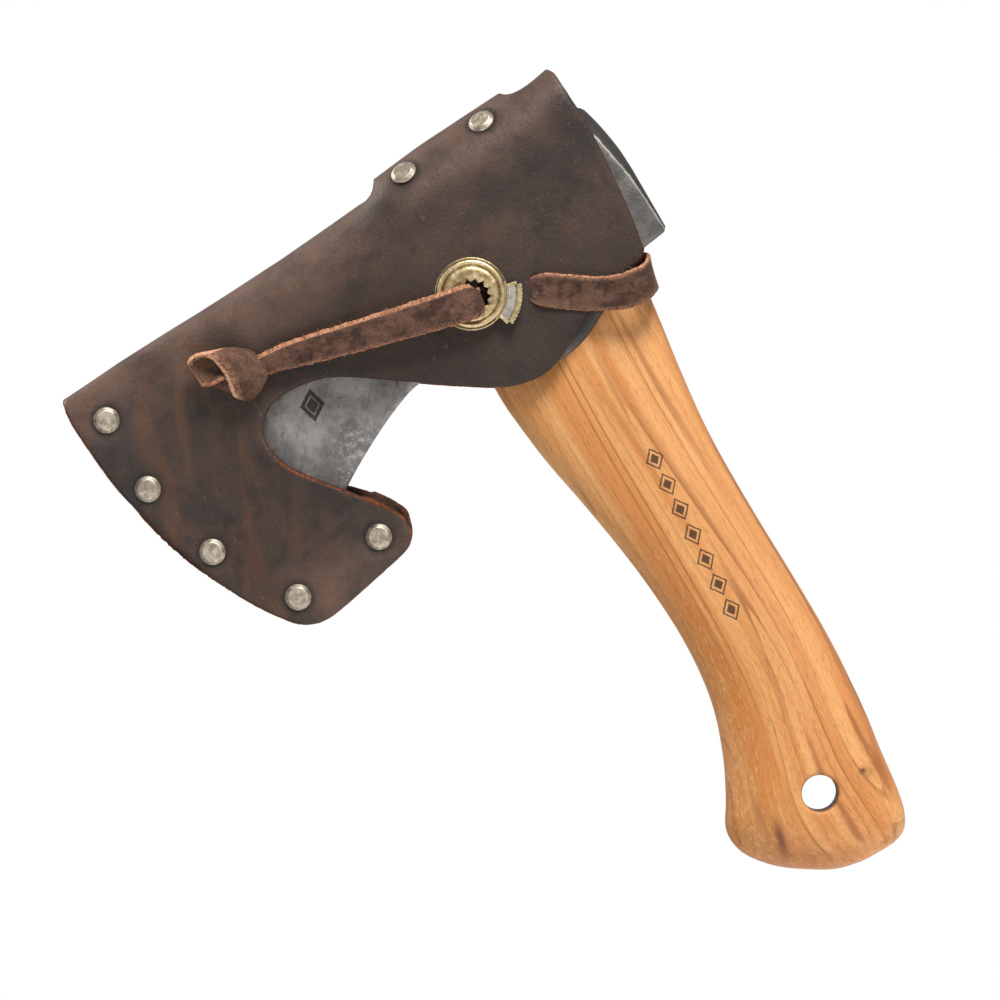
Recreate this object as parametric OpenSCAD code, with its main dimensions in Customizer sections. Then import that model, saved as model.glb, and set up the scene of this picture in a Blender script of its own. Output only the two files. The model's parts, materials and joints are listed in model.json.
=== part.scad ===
// Small forest hatchet: forged bearded head, curved hickory handle and a riveted leather sheath.
// A lace runs from a spring lock on the sheath, around the back of the handle, to the far side.
//
// Frame: +Z up along the handle, -X towards the cutting edge, -Y towards the side with the lock.
// The origin is the centre of the hanging hole, on the tool's mid-plane. Sizes are in millimetres.

/* [Handle] */
// Radius of the hanging hole
hang_hole_r = 5.5; // [4.5:0.1:6.5]
// Roundness of the handle's section: 2 is an ellipse, more is squarer
handle_power = 2.5; // [2:0.1:3]
// Half width of the eye in the head, across the tool
eye_half = 8.5; // [8:0.1:9]
// Height of the tenon's top above the hanging hole
tenon_top = 218; // [217.2:0.1:218.5]

/* [Head] */
// Radius of the curved cutting edge
edge_r = 90; // [89:0.5:91]
// Angle of the ground bevel, on each side
bevel_angle = 10; // [9:0.5:10.5]
// Half thickness of the head at the eye
cheek_half = 12.5; // [12.2:0.1:12.7]
// Distance of the poll's flat face behind the hanging hole
poll_x = 44.8; // [44.5:0.1:45.5]

/* [Sheath] */
// Thickness of the sheath leather
leather_t = 2.8; // [2.4:0.1:3]
// Half gap between the two sides beside the eye
gap_rear = 14.9; // [14.8:0.1:15.5]
// Half gap between the two sides along the riveted edge
gap_edge = 1.5; // [1.2:0.1:1.8]
// Distance of the rivet row outside the cutting edge
rivet_row = 8.8; // [8:0.1:9.5]
// Radius of a rivet's cap
cap_r = 4; // [3.5:0.1:4.2]

/* [Lace and lock] */
// Width of the lace
lace_w = 9; // [8:0.5:9]
// Thickness of the lace
lace_t = 2; // [1.6:0.1:2]
// Radius of the lock's case
lock_r = 10.9; // [10.5:0.1:11.2]

/* [Hidden] */
$fn = 64;

fit_gap = 0.1;      // clearance between pieces that touch
far = 200;          // longer than the tool, for cuts
steel = [0.30, 0.31, 0.32];
nickel = [0.72, 0.70, 0.66];
brass = [0.66, 0.58, 0.36];
hickory = [0.84, 0.60, 0.35];
beech = [0.78, 0.66, 0.48];
brown_leather = [0.27, 0.19, 0.16];
lace_leather = [0.42, 0.27, 0.22];

// ---- curves -------------------------------------------------------------------------------

// One point of a Catmull-Rom curve between b and c, at t from 0 to 1
function blend_point(a, b, c, d, t) =
    0.5 * (2 * b + (c - a) * t + (2 * a - 5 * b + 4 * c - d) * t * t + (3 * b - a - 3 * c + d) * t * t * t);

// A smooth open curve through every point of p, with n steps from each to the next
function smooth(p, n) = [
    for (i = [0 : len(p) - 2], k = [0 : n - 1])
        blend_point(p[max(i - 1, 0)], p[i], p[i + 1], p[min(i + 2, len(p) - 1)], k / n),
    p[len(p) - 1]
];

function arc(centre, r, from, to, n) =
    [for (k = [0 : n]) centre + r * [cos(from + (to - from) * k / n), sin(from + (to - from) * k / n)]];

function mirrored(half) = concat(half, [for (i = [len(half) - 1 : -1 : 0]) [half[i][0], -half[i][1]]]);

// A side view outline (X, Z) made solid across the tool, from y0 to y1
module across(outline, y0 = -60, y1 = 60) {
    translate([0, y1, 0]) rotate([90, 0, 0]) linear_extrude(y1 - y0) polygon(outline);
}

// A half outline (X, half width) seen from above, mirrored and made solid upwards
module upwards(half) {
    translate([0, 0, 80]) linear_extrude(far) polygon(mirrored(half));
}

// ---- head ---------------------------------------------------------------------------------

edge_centre = [-31, 193];
poll_flat = [169.5, 190];
head_top = 215.6;
heel_z = 138.5;
eye_front = -20.5;
eye_rear = 29.5;

// Side view: underside from heel to poll, flat poll face, then the top from poll to toe
head_underside = smooth([
    [-97, heel_z], [-87, 142.5], [-76, 150.5], [-63, 158], [-52, 163.2], [-43, 166],
    [-34, 165], [-25, 160], [-15, 153.2], [-5, 150.6], [5, 151.7], [14.3, 156], [24, 162], [34, 167]
], 4);
head_top_edge = smooth([
    [poll_x - 1, 202], [poll_x - 2.6, 209], [39.5, 214], [30, head_top], [5, head_top], [-30, 215.2],
    [-75, 212.8], [-125, 209.3]
], 4);
head_outline = concat(
    [[-125, heel_z]], head_underside,
    [[poll_x - 1.3, poll_flat[0] - 1.3], [poll_x, poll_flat[0]], [poll_x, poll_flat[1]]], head_top_edge
);

// Seen from above: half thickness from the poll face to the thin of the blade
head_half = concat([[poll_x, 9.6]], smooth([
    [poll_x - 1.3, 10.9], [36, 11.6], [24, cheek_half - 0.2], [5, cheek_half], [-12, 11.9],
    [-22, 9.6], [-32, 6.6], [-46, 4.9], [-70, 3.7], [-95, 3], [-125, 2.6]
], 4));

// The two ground bevels meet at the cutting edge, so they are one flat double cone
module bevel_cone() {
    edge_half = 0.12;
    middle_half = edge_half + edge_r * tan(bevel_angle);
    translate([edge_centre[0], 0, edge_centre[1]]) rotate([90, 0, 0]) rotate_extrude($fn = 180)
        polygon([[0, -middle_half], [edge_r, -edge_half], [edge_r, edge_half], [0, middle_half]]);
}

module stadium(x0, x1, r) {
    for (x = [x0 + r, x1 - r]) translate([x, 0]) circle(r);
    translate([x0 + r, -r]) square([x1 - x0 - 2 * r, 2 * r]);
}

module axe_head() {
    color(steel) difference() {
        intersection() {
            across(head_outline);
            upwards(head_half);
            union() {
                bevel_cone();
                translate([-45, -60, 100]) cube([far, 120, far]);
            }
        }
        translate([0, 0, 100]) linear_extrude(far) stadium(eye_front, eye_rear, eye_half);
    }
}

// ---- handle -------------------------------------------------------------------------------

// Each station: height, front, rear and half thickness
handle_stations = [
    [-24.4, 1, 12, 5.5], [-22.5, -7, 16.5, 9], [-18, -15, 19.3, 11.6], [-12, -23, 20.8, 13],
    [-4, -29, 21.8, 13.8], [4, -29.8, 22.7, 14], [12, -25.3, 23.9, 13.6], [24, -19.4, 25, 12.8],
    [40, -14.3, 25.9, 12], [60, -12.4, 25.8, 11.6], [84, -13.9, 25.2, 11.5], [108, -17.6, 25.3, 11.6],
    [128, -21.4, 27.1, 11.8], [148, -23.6, 29.8, 11.6], [158, -23.4, 30.9, 10.8], [168.5, -21, 31, 9.6]
];
ring_points = 32;
kerf_half = 2.4;
kerf_bottom = 182;
ring_x = 5.5;
ring_outer = 5.5;
ring_inner = 4;
ring_depth = 9.5;

function sign_power(v, p) = sign(v) * pow(abs(v), p);

// One ring of the handle: a superellipse between the station's front and rear
function handle_ring(s) = [
    for (k = [0 : ring_points - 1])
        let (a = 360 * k / ring_points, middle = (s[1] + s[2]) / 2, reach = (s[2] - s[1]) / 2)
        [middle + reach * sign_power(cos(a), 2 / handle_power), s[3] * sign_power(sin(a), 2 / handle_power), s[0]]
];

// A closed skin over rings that all have the same number of points
module loft(rings) {
    n = len(rings[0]);
    last = len(rings) - 1;
    walls = [
        for (i = [0 : last - 1], k = [0 : n - 1])
            let (k2 = (k + 1) % n)
            [i * n + k, (i + 1) * n + k, (i + 1) * n + k2, i * n + k2]
    ];
    bottom = [for (k = [0 : n - 1]) k];
    top = [for (k = [n - 1 : -1 : 0]) last * n + k];
    polyhedron([for (r = rings) each r], concat([bottom, top], walls), convexity = 4);
}

// The tapered slot that the wooden wedge spreads, as a V that opens upwards
module kerf(x0, x1, clearance) {
    w = kerf_half - clearance;
    translate([x0, 0, 0]) rotate([90, 0, 90]) linear_extrude(x1 - x0)
        polygon([[-w, tenon_top], [0, kerf_bottom + 8 * clearance], [w, tenon_top]]);
}

module ring_tube(clearance) {
    translate([ring_x, 0, tenon_top - ring_depth]) difference() {
        cylinder(h = ring_depth + 1, r = ring_outer + clearance);
        translate([0, 0, -1]) cylinder(h = ring_depth + 3, r = ring_inner - clearance);
    }
}

module handle() {
    color(hickory) difference() {
        union() {
            difference() {
                loft([for (s = smooth(handle_stations, 3)) handle_ring(s)]);
                translate([0, 0, -fit_gap]) across(head_outline);
            }
            translate([0, 0, 149]) linear_extrude(tenon_top - 149)
                stadium(eye_front + fit_gap, eye_rear - fit_gap, eye_half - fit_gap);
        }
        kerf(eye_front - 1, eye_rear + 1, 0);
        ring_tube(0.04);
        rotate([90, 0, 0]) cylinder(h = 60, r = hang_hole_r, center = true);
    }
}

module eye_wedge() {
    color(beech) difference() {
        kerf(eye_front + 1.2, eye_rear - 1.2, 0.05);
        ring_tube(0.04);
    }
}

module wedge_ring() {
    color(steel) translate([ring_x, 0, tenon_top - ring_depth + 0.1]) rotate_extrude()
        polygon([
            [ring_inner, 0.6], [(ring_inner + ring_outer) / 2, 0], [ring_outer, 0.6],
            [ring_outer, ring_depth + 0.4], [ring_inner, ring_depth + 0.4]
        ]);
}

// ---- sheath leather -----------------------------------------------------------------------

roof_tilt = 3.46;       // the fold along the top rises towards the poll
roof_fold = 219.9;      // height of the fold's inside above the origin, at X = 0 before the tilt
roof_rear_lift = 5.3;   // how far the sides stand above the fold's line behind the fold
fold_end = -26;         // X where the fold stops and the bridge strap begins
taper_start = -30;      // the sides run parallel behind this X and close in ahead of it
taper_end = -117;
hook_z = 137.6;         // below this the sides lie flat on the welt
roof_corner = 7.3;      // width of the slope between a side and the roof
slope_open = 9;         // half width of the opening between the two rear slopes
half_turn_shift = tan(22.5);
taper_angle = atan((gap_rear - gap_edge) / (taper_start - taper_end));
rear_height = roof_fold + roof_rear_lift;
// Half width plus height, anywhere on the rear slope's outside
slope_sum = gap_rear - roof_corner + rear_height + sqrt(2) * leather_t;

// Side view outline of one side, from the toe corner round the riveted edge, hook, throat and rear
toe_corner = [-138, 215.2];
sheath_edge = smooth([
    toe_corner, [-138.8, 208], [-138.3, 198], [-136.8, 184], [-133.8, 172.5], [-128.6, 155.5], [-121.3, 138],
    [-112.5, 124.6], [-107.5, 120.2], [-102, 118.7], [-94.5, 119.6], [-78, 123], [-70.6, 124.9], [-67.2, 127.9],
    [-66.6, 131.6], [-67.9, 135.7], [-75.9, 146.6], [-85.5, 158.4], [-89.8, 165], [-91.3, 171], [-90, 177.4],
    [-85.5, 181.9], [-79, 183.5], [-71, 182.8], [-61.4, 179.1], [-39.8, 164.3], [-21, 152.3], [-14.5, 149.8],
    [-8.5, 149.3], [-2.5, 151], [8, 157.5], [18, 161.8], [33.2, 164.6]
], 3);
sheath_rear = smooth([[36, 168], [37.4, 178], [39, 195], [39.6, 208], [39, 220], [37.4, 228.7]], 2);
sheath_top = [
    [31, 228.2], [26.5, 227.7], [23.2, 227.9], [21.5, 229.4], [-24.3, 226.1], [-25, 223.4], [fold_end, 240],
    [-150, 240], [-150, 215.2]
];
cover_outline = concat(sheath_edge, sheath_rear, sheath_top);

// The hollow between the two sides, grown by d on every side
module taper(d) {
    shift = d * tan(taper_angle / 2);
    upwards([
        [60, gap_rear + d], [taper_start - shift, gap_rear + d],
        [taper_end - shift, gap_edge + d], [-160, gap_edge + d]
    ]);
}

module along(half) {
    translate([-160, 0, 0]) rotate([90, 0, 90]) linear_extrude(240)
        polygon([for (p = mirrored([for (q = half) [q[1], q[0]]])) [p[1], p[0]]]);
}

module hook_pinch(d) {
    rise = gap_rear + 5 - gap_edge;
    along([
        [gap_edge + d, 90], [gap_edge + d, hook_z - half_turn_shift * d],
        [gap_edge + rise + d, hook_z + rise - half_turn_shift * d], [gap_edge + rise + d, 260]
    ]);
}

module roof(height, d) {
    rotate([0, -roof_tilt, 0]) along([
        [40 + d, 60], [40 + d, height - roof_corner - (40 - gap_rear) + half_turn_shift * d],
        [gap_rear - roof_corner + half_turn_shift * d, height + d]
    ]);
}

module hollow(height, d) {
    intersection() {
        taper(d);
        hook_pinch(d);
        roof(height, d);
    }
}

module shell_between(x0, x1, height) {
    difference() {
        intersection() {
            hollow(height, leather_t);
            translate([x0, -60, 60]) cube([x1 - x0, 120, far]);
        }
        hollow(height, 0);
    }
}

// A point on the rear slope's outside, sy = -1 on the lock's side and 1 on the far side
module on_slope(x, z, sy) {
    rotate([0, -roof_tilt, 0]) translate([x, sy * (slope_sum - z), z]) rotate([-45 * sy, 0, 0]) children();
}

module at_edge_rivets() {
    for (p = edge_rivets) translate([p[0], 0, p[1]]) children();
}

edge_rivet_angles = [174, 188, 203.7, 220.6];
edge_rivets = concat(
    [for (a = edge_rivet_angles) edge_centre + (edge_r + rivet_row) * [cos(a), sin(a)]], [[-76, 132.3]]
);
stem_r = 1.6;
stem_hole_r = stem_r + 0.05;
bridge_rivet_x = [-1.6, 26.2];
bridge_rivet_z = 223.6;
anchor = [0, 173.5];

module sheath_cover() {
    color(brown_leather) difference() {
        intersection() {
            union() {
                shell_between(-160, fold_end, roof_fold);
                shell_between(fold_end, 60, rear_height);
            }
            across(cover_outline);
        }
        translate([fold_end, -slope_open, 214]) cube([far, 2 * slope_open, 40]);
        at_edge_rivets() rotate([90, 0, 0]) cylinder(h = 40, r = stem_hole_r, center = true);
        for (x = bridge_rivet_x, sy = [-1, 1]) on_slope(x, bridge_rivet_z, sy)
            cylinder(h = 20, r = stem_hole_r, center = true);
        translate([lock_at[0], -10, lock_at[1]]) rotate([90, 0, 0]) cylinder(h = 10, r = lace_hole_r);
        lace_frame() translate([-lace_t / 2 - 0.3, -22, -lace_w / 2 - 0.3]) cube([lace_t + 0.6, 12, lace_w + 0.6]);
        translate([anchor[0], 10, anchor[1]]) rotate([-90, 0, 0]) cylinder(h = 10, r = stem_hole_r);
    }
}

// The strap across the top of the head, whose bent-down ends lie under the sheath's two slopes
module top_bridge() {
    strap_t = 2.4;
    under = slope_sum - sqrt(2) * (leather_t + fit_gap);
    inner = under - sqrt(2) * strap_t;
    top_z = 226.2;
    end_z = 218.2;
    color(brown_leather) difference() {
        rotate([0, -roof_tilt, 0]) translate([-9.5, 0, 0]) rotate([90, 0, 90]) linear_extrude(44)
            polygon([
                [under - end_z, end_z], [under - top_z, top_z], [top_z - under, top_z], [end_z - under, end_z],
                [end_z - inner, end_z], [top_z - strap_t - inner, top_z - strap_t],
                [inner - top_z + strap_t, top_z - strap_t], [inner - end_z, end_z]
            ]);
        for (x = bridge_rivet_x, sy = [-1, 1]) on_slope(x, bridge_rivet_z, sy)
            cylinder(h = 20, r = stem_hole_r, center = true);
    }
}

// The strip between the two sides that keeps the cutting edge off the rivets
module edge_welt() {
    inner_r = edge_r + 1.6;
    color(brown_leather) difference() {
        across(concat(
            arc(edge_centre, inner_r, 173, 217, 24), [[-99, 136], [-82, 136], [-72, 134.6], [-68.6, 131]],
            [[-70.5, 127], [-78.5, 124.6], [-95, 121], [-101.5, 120.3]],
            arc(edge_centre, edge_r + 15.2, 223.5, 172, 24)
        ), -gap_edge + 0.05, gap_edge - 0.05);
        at_edge_rivets() rotate([90, 0, 0]) cylinder(h = 40, r = stem_hole_r, center = true);
    }
}

// ---- rivets -------------------------------------------------------------------------------

cap_h = 1.5;
pin_r = 1.05;

// A domed cap that sits on z = 0, with its tube or pin going down through the layers
module rivet_cap(r, tube) {
    rotate_extrude() polygon(concat(
        [[0, cap_h], [0.5 * r, 0.95 * cap_h], [0.82 * r, 0.72 * cap_h], [0.97 * r, 0.35 * cap_h], [r, 0]],
        [[stem_r, 0], [stem_r, -tube], [pin_r + 0.05, -tube], [pin_r + 0.05, 0.2], [0, 0.2]]
    ));
}

module rivet_post(r, h, pin) {
    rotate_extrude() polygon([
        [0, h], [0.6 * r, 0.92 * h], [0.92 * r, 0.6 * h], [r, 0], [pin_r, 0], [pin_r, -pin], [0, -pin]
    ]);
}

module edge_rivet_caps() {
    face = gap_edge + leather_t;
    color(nickel) at_edge_rivets() translate([0, -face, 0]) rotate([90, 0, 0]) rivet_cap(cap_r, 2 * face - 0.1);
}

module edge_rivet_posts() {
    face = gap_edge + leather_t;
    color(nickel) at_edge_rivets() translate([0, face, 0]) rotate([-90, 0, 0])
        rivet_post(cap_r, cap_h, 2 * face - 0.3);
}

bridge_stack = leather_t + fit_gap + 2.4;

module bridge_rivet_caps() {
    color(nickel) for (x = bridge_rivet_x, sy = [-1, 1]) on_slope(x, bridge_rivet_z, sy)
        rivet_cap(cap_r, bridge_stack - 0.1);
}

module bridge_rivet_posts() {
    color(nickel) for (x = bridge_rivet_x, sy = [-1, 1]) on_slope(x, bridge_rivet_z, sy)
        translate([0, 0, -bridge_stack]) rotate([180, 0, 0]) rivet_post(3, 0.9, bridge_stack - 0.2);
}

lace_face = gap_rear + leather_t + fit_gap;

module anchor_rivet_cap() {
    color(nickel) translate([anchor[0], lace_face + lace_t, anchor[1]]) rotate([-90, 0, 0])
        rivet_cap(cap_r, leather_t + lace_t);
}

module anchor_rivet_post() {
    color(nickel) translate([anchor[0], gap_rear, anchor[1]]) rotate([90, 0, 0])
        rivet_post(3, 0.9, leather_t + lace_t - 0.1);
}

// ---- lace ---------------------------------------------------------------------------------

lock_at = [-15.7, 181.2];
lock_h = 4.9;
lace_hole_r = 4.9;
tail_angle = 13.2;                  // the free tail rises towards the toe
tail_slope = taper_angle + 2;       // and comes down towards the leather
tail_reach = 12.1;                  // from the lock's centre to where the slope begins
tail_run = 54.5;                    // length of the sloped part
tail_over = gap_rear + leather_t + lock_h + 0.15;
loop_tilt = 22.5;                   // the loop drops towards the back of the handle
leg_start = 0.3;
leg_length = 29.2;
bend_reach = 38;
bend_corner = 4;

// Lace directions: +X along the loop from the slit towards the back of the handle
module lace_frame() {
    translate([anchor[0], 0, anchor[1]]) rotate([0, loop_tilt, 0]) children();
}

// Lace directions: +X along the free tail from the lock towards the knot
module tail_frame() {
    translate([lock_at[0], 0, lock_at[1]]) rotate([0, 180 + tail_angle, 0]) children();
}

// The same, but +X follows the tail's slope and starts where the slope does
module slope_frame() {
    tail_frame() translate([tail_reach, -tail_over, 0]) rotate([0, 0, tail_slope]) children();
}

// The tail comes up through the lock, lies over it and then slopes down towards the knot
module lace_tail() {
    stub_w = 4.6;
    color(lace_leather) {
        slope_frame() translate([0, -lace_t, -lace_w / 2]) cube([tail_run, lace_t, lace_w]);
        tail_frame() {
            translate([-lace_t / 2, -tail_over - lace_t, -lace_w / 2])
                cube([tail_reach + lace_t / 2, lace_t, lace_w]);
            translate([-lace_t / 2, -tail_over - 0.5, -stub_w / 2])
                cube([lace_t, tail_over + 0.5 - cheek_half - 0.3, stub_w]);
        }
    }
}

// The overhand knot as a wrapped block, with the cut end of the lace beyond it
module lace_knot() {
    knot_l = 12;
    knot_h = 7.2;
    chamfer = 2.4;
    below = 1.4;
    color(lace_leather) slope_frame() translate([tail_run + fit_gap, below - knot_h, 0]) {
        translate([0, 0, -8]) linear_extrude(16) polygon([
            [0, chamfer], [chamfer, 0], [knot_l - chamfer, 0], [knot_l, chamfer],
            [knot_l, knot_h - chamfer], [knot_l - chamfer, knot_h], [chamfer, knot_h], [0, knot_h - chamfer]
        ]);
        translate([knot_l - 1, 2.4, -1.5]) cube([9.5, 3.6, 10]);
    }
}

// The hidden run inside the sheath, from the lock's hole to the slit, and the turn out through the slit
module lace_inner_run() {
    run = lock_at - anchor;
    color(lace_leather) {
        lace_frame() translate([-lace_t / 2, -lace_face, -lace_w / 2])
            cube([lace_t, leather_t + lace_t, lace_w]);
        translate([anchor[0], -gap_rear + 0.2, anchor[1]]) rotate([0, -atan2(run[1], run[0]), 0])
            translate([-1, 0, -lace_w / 2 + 0.4]) cube([norm(run) - 0.8, lace_t, lace_w - 0.8]);
    }
}

// The two legs along the outside of the sheath: the back one is riveted down at its end
module lace_legs() {
    color(lace_leather) {
        lace_frame() translate([leg_start - lace_t / 2, -lace_face - lace_t, -lace_w / 2])
            cube([leg_length - leg_start + lace_t / 2, lace_t, lace_w]);
        difference() {
            lace_frame() translate([-5.5, lace_face, -lace_w / 2]) cube([leg_length + 5.5, lace_t, lace_w]);
            translate([anchor[0], 10, anchor[1]]) rotate([-90, 0, 0]) cylinder(h = 20, r = stem_hole_r);
        }
    }
}

// Half of a U seen along the lace's width, from the end of a leg round to the middle of the back
function half_bend(reach, half, r) = concat([[leg_length + fit_gap, half]], arc([reach - r, half - r], r, 90, 0, 8));

module lace_bend() {
    color(lace_leather) lace_frame() translate([0, 0, -lace_w / 2]) linear_extrude(lace_w) difference() {
        polygon(mirrored(half_bend(bend_reach, lace_face + lace_t, bend_corner)));
        polygon(mirrored(concat(
            [[leg_length - 1, lace_face]],
            half_bend(bend_reach - lace_t, lace_face, bend_corner - lace_t)
        )));
    }
}

// ---- lock ---------------------------------------------------------------------------------

button_angle = -42.4;   // direction of the button, from +X towards +Z
slider_half = 5.7;
slider_z = [1.05, 3.25];
button_travel = 1.8;
slider_back = sqrt(pow(lock_r - 1, 2) - pow(slider_half, 2)) - button_travel;
teeth = 13;
pad_teeth = 9;

// Lock directions: +X along the button's travel, +Z out of the sheath's face
module lock_frame() {
    translate([lock_at[0], -gap_rear - leather_t - 0.05, lock_at[1]]) rotate([90, 0, 0])
        rotate([0, 0, button_angle]) children();
}

module lock_case() {
    wall = 0.9;
    color(brass) lock_frame() difference() {
        rotate_extrude($fn = 96) polygon([
            [0, 0], [lock_r, 0], [lock_r, lock_h - 1.1], [lock_r - 0.35, lock_h - 0.4], [lock_r - 1.1, lock_h],
            [lock_r - 2, lock_h - 0.15], [lock_r - 2.9, lock_h - 0.6], [0, lock_h - 0.7]
        ]);
        translate([0, 0, -1]) cylinder(h = lock_h - 0.6, r = lock_r - wall);
        linear_extrude(10) polygon([
            for (k = [0 : 2 * teeth - 1]) (k % 2 == 0 ? 5.9 : 4.6) * [cos(180 * k / teeth), sin(180 * k / teeth)]
        ]);
        translate([4, -slider_half - 0.1, slider_z[0] - 0.1])
            cube([12, 2 * slider_half + 0.2, slider_z[1] - slider_z[0] + 0.2]);
    }
}

module lock_base() {
    color(brass) lock_frame() difference() {
        cylinder(h = 0.8, r = lock_r - 1);
        translate([0, 0, -1]) cylinder(h = 3, r = lace_hole_r + 0.6);
    }
}

module lock_plunger() {
    color(nickel) lock_frame() translate([0, 0, slider_z[0]]) linear_extrude(slider_z[1] - slider_z[0])
        difference() {
            intersection() {
                circle(r = 13.3);
                translate([-slider_back, -slider_half]) square([30, 2 * slider_half]);
            }
            stadium(-2.6, 7, 4.3);
        }
}

module lock_thumb_pad() {
    half_angle = 24;
    color(brass) lock_frame() {
        translate([0, 0, 0.6]) linear_extrude(3.5) polygon(concat(
            arc([0, 0], 14, half_angle, -half_angle, 12),
            [for (k = [0 : 2 * pad_teeth])
                let (a = -half_angle + half_angle * k / pad_teeth)
                (k % 2 == 0 ? 15.6 : 15) * [cos(a), sin(a)]]
        ));
        translate([0, 0, 1.5]) linear_extrude(1.4)
            polygon(concat(arc([0, 0], 13.35, 18, -18, 12), arc([0, 0], 14.5, -18, 18, 12)));
    }
}

// A round wire wound along +X, from x0 to x1
module lock_spring() {
    x0 = -9.8;
    x1 = -slider_back - fit_gap;
    turns = 3;
    coil_r = 1;
    wire_r = 0.2;
    steps = 14 * turns;
    middle_z = (slider_z[0] + slider_z[1]) / 2;
    rings = [
        for (i = [0 : steps])
            let (a = 360 * turns * i / steps, x = x0 + wire_r + (x1 - x0 - 2 * wire_r) * i / steps)
            [for (k = [0 : 5])
                let (b = 60 * k, r = coil_r + wire_r * cos(b))
                [x + wire_r * sin(b), r * cos(a), middle_z + r * sin(a)]]
    ];
    color(nickel) lock_frame() loft(rings);
}

// ---- all pieces ---------------------------------------------------------------------------

axe_head();
handle();
eye_wedge();
wedge_ring();
sheath_cover();
top_bridge();
edge_welt();
edge_rivet_caps();
edge_rivet_posts();
bridge_rivet_caps();
bridge_rivet_posts();
anchor_rivet_cap();
anchor_rivet_post();
lace_tail();
lace_knot();
lace_inner_run();
lace_legs();
lace_bend();
lock_case();
lock_base();
lock_plunger();
lock_thumb_pad();
lock_spring();
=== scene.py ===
"""Looks for the sheathed hatchet: leather, steel, hickory, brass and nickel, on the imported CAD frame.

Shapes are worked out in millimetres in the row frame and stored in metres.
"""
import json
import math

import bmesh
import bpy
import numpy as np
from mathutils import Matrix, Vector, noise
from mathutils.geometry import delaunay_2d_cdt


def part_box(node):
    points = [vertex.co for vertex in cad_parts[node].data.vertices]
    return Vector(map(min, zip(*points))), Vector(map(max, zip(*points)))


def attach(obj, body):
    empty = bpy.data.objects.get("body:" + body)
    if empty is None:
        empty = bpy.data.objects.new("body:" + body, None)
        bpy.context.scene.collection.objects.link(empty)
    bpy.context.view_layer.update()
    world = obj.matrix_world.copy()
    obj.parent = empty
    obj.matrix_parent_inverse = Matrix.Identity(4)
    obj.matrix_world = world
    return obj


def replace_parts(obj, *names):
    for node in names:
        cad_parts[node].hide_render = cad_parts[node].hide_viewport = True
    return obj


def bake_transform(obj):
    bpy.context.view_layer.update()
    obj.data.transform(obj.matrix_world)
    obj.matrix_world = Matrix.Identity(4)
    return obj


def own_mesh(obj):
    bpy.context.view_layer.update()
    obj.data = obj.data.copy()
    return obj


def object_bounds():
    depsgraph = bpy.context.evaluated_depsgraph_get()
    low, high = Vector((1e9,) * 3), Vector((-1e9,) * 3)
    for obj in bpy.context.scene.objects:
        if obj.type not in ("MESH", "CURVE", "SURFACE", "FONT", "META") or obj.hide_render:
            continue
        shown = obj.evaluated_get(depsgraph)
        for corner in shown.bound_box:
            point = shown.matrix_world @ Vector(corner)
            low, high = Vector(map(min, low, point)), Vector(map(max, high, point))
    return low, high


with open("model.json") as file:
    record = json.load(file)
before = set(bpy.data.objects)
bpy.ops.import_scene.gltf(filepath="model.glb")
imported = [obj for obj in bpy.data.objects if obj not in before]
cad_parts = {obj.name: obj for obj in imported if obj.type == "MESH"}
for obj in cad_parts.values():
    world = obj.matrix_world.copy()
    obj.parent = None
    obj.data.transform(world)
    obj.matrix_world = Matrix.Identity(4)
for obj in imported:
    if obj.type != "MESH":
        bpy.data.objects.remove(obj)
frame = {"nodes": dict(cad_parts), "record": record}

cad_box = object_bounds()
MM = 0.001
rng = np.random.default_rng(7)


# ---- numbers shared with the CAD ------------------------------------------------------------

def box_mm(node):
    """Lowest and highest corner of a CAD node, in millimetres."""
    low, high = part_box(node)
    return np.array(low) / MM, np.array(high) / MM


def joint(name):
    """A joint of the record."""
    return next(j for j in frame["record"]["behaviour"]["joints"] if j["name"] == name)


LEATHER_T = 2.8
LACE_T = 1.9
LOCK_CENTRE = np.array(joint("lock_swivel")["pos_m"]) / MM
BUTTON_AXIS = -np.array(joint("plunger_press")["axis"], float)
LACE_AXIS = -np.array(joint("lace_draw")["axis"], float)
ROOF_TILT = math.radians(3.46)


# ---- curves and fields ----------------------------------------------------------------------

def smoothstep(a, b, x):
    """From 0 at a to 1 at b, which may be the smaller."""
    t = np.clip((np.asarray(x, float) - a) / (b - a), 0, 1)
    return t * t * (3 - 2 * t)


def soft_ramp(x, width):
    """Zero below 0 and x above it, rounded over the width."""
    return width * np.logaddexp(0, np.asarray(x, float) / width)


def soft_min(a, b, width):
    """The lesser of two, blended where they are within the width of each other."""
    h = np.clip(0.5 + 0.5 * (b - a) / width, 0, 1)
    return b + (a - b) * h - width * h * (1 - h)


def curve(points, steps):
    """A smooth open curve through the points, of any dimension."""
    p = np.array(points, float)
    p = np.vstack([2 * p[0] - p[1], p, 2 * p[-1] - p[-2]])
    out = []
    for i in range(1, len(p) - 2):
        a, b, c, d = p[i - 1:i + 3]
        for k in range(steps):
            t = k / steps
            out.append(0.5 * (2 * b + (c - a) * t + (2 * a - 5 * b + 4 * c - d) * t**2
                              + (3 * b - a - 3 * c + d) * t**3))
    out.append(p[-2])
    return np.array(out)


def split_long(loop, step):
    """A closed loop with its long segments split, and its own points kept."""
    out = []
    for a, b in zip(loop, np.roll(loop, -1, axis=0)):
        n = max(1, int(math.ceil(np.linalg.norm(b - a) / step)))
        out += [a + (b - a) * k / n for k in range(n)]
    return np.array(out)


def unit(vectors):
    """The same directions, one long."""
    return vectors / np.maximum(np.linalg.norm(vectors, axis=-1, keepdims=True), 1e-12)


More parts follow.
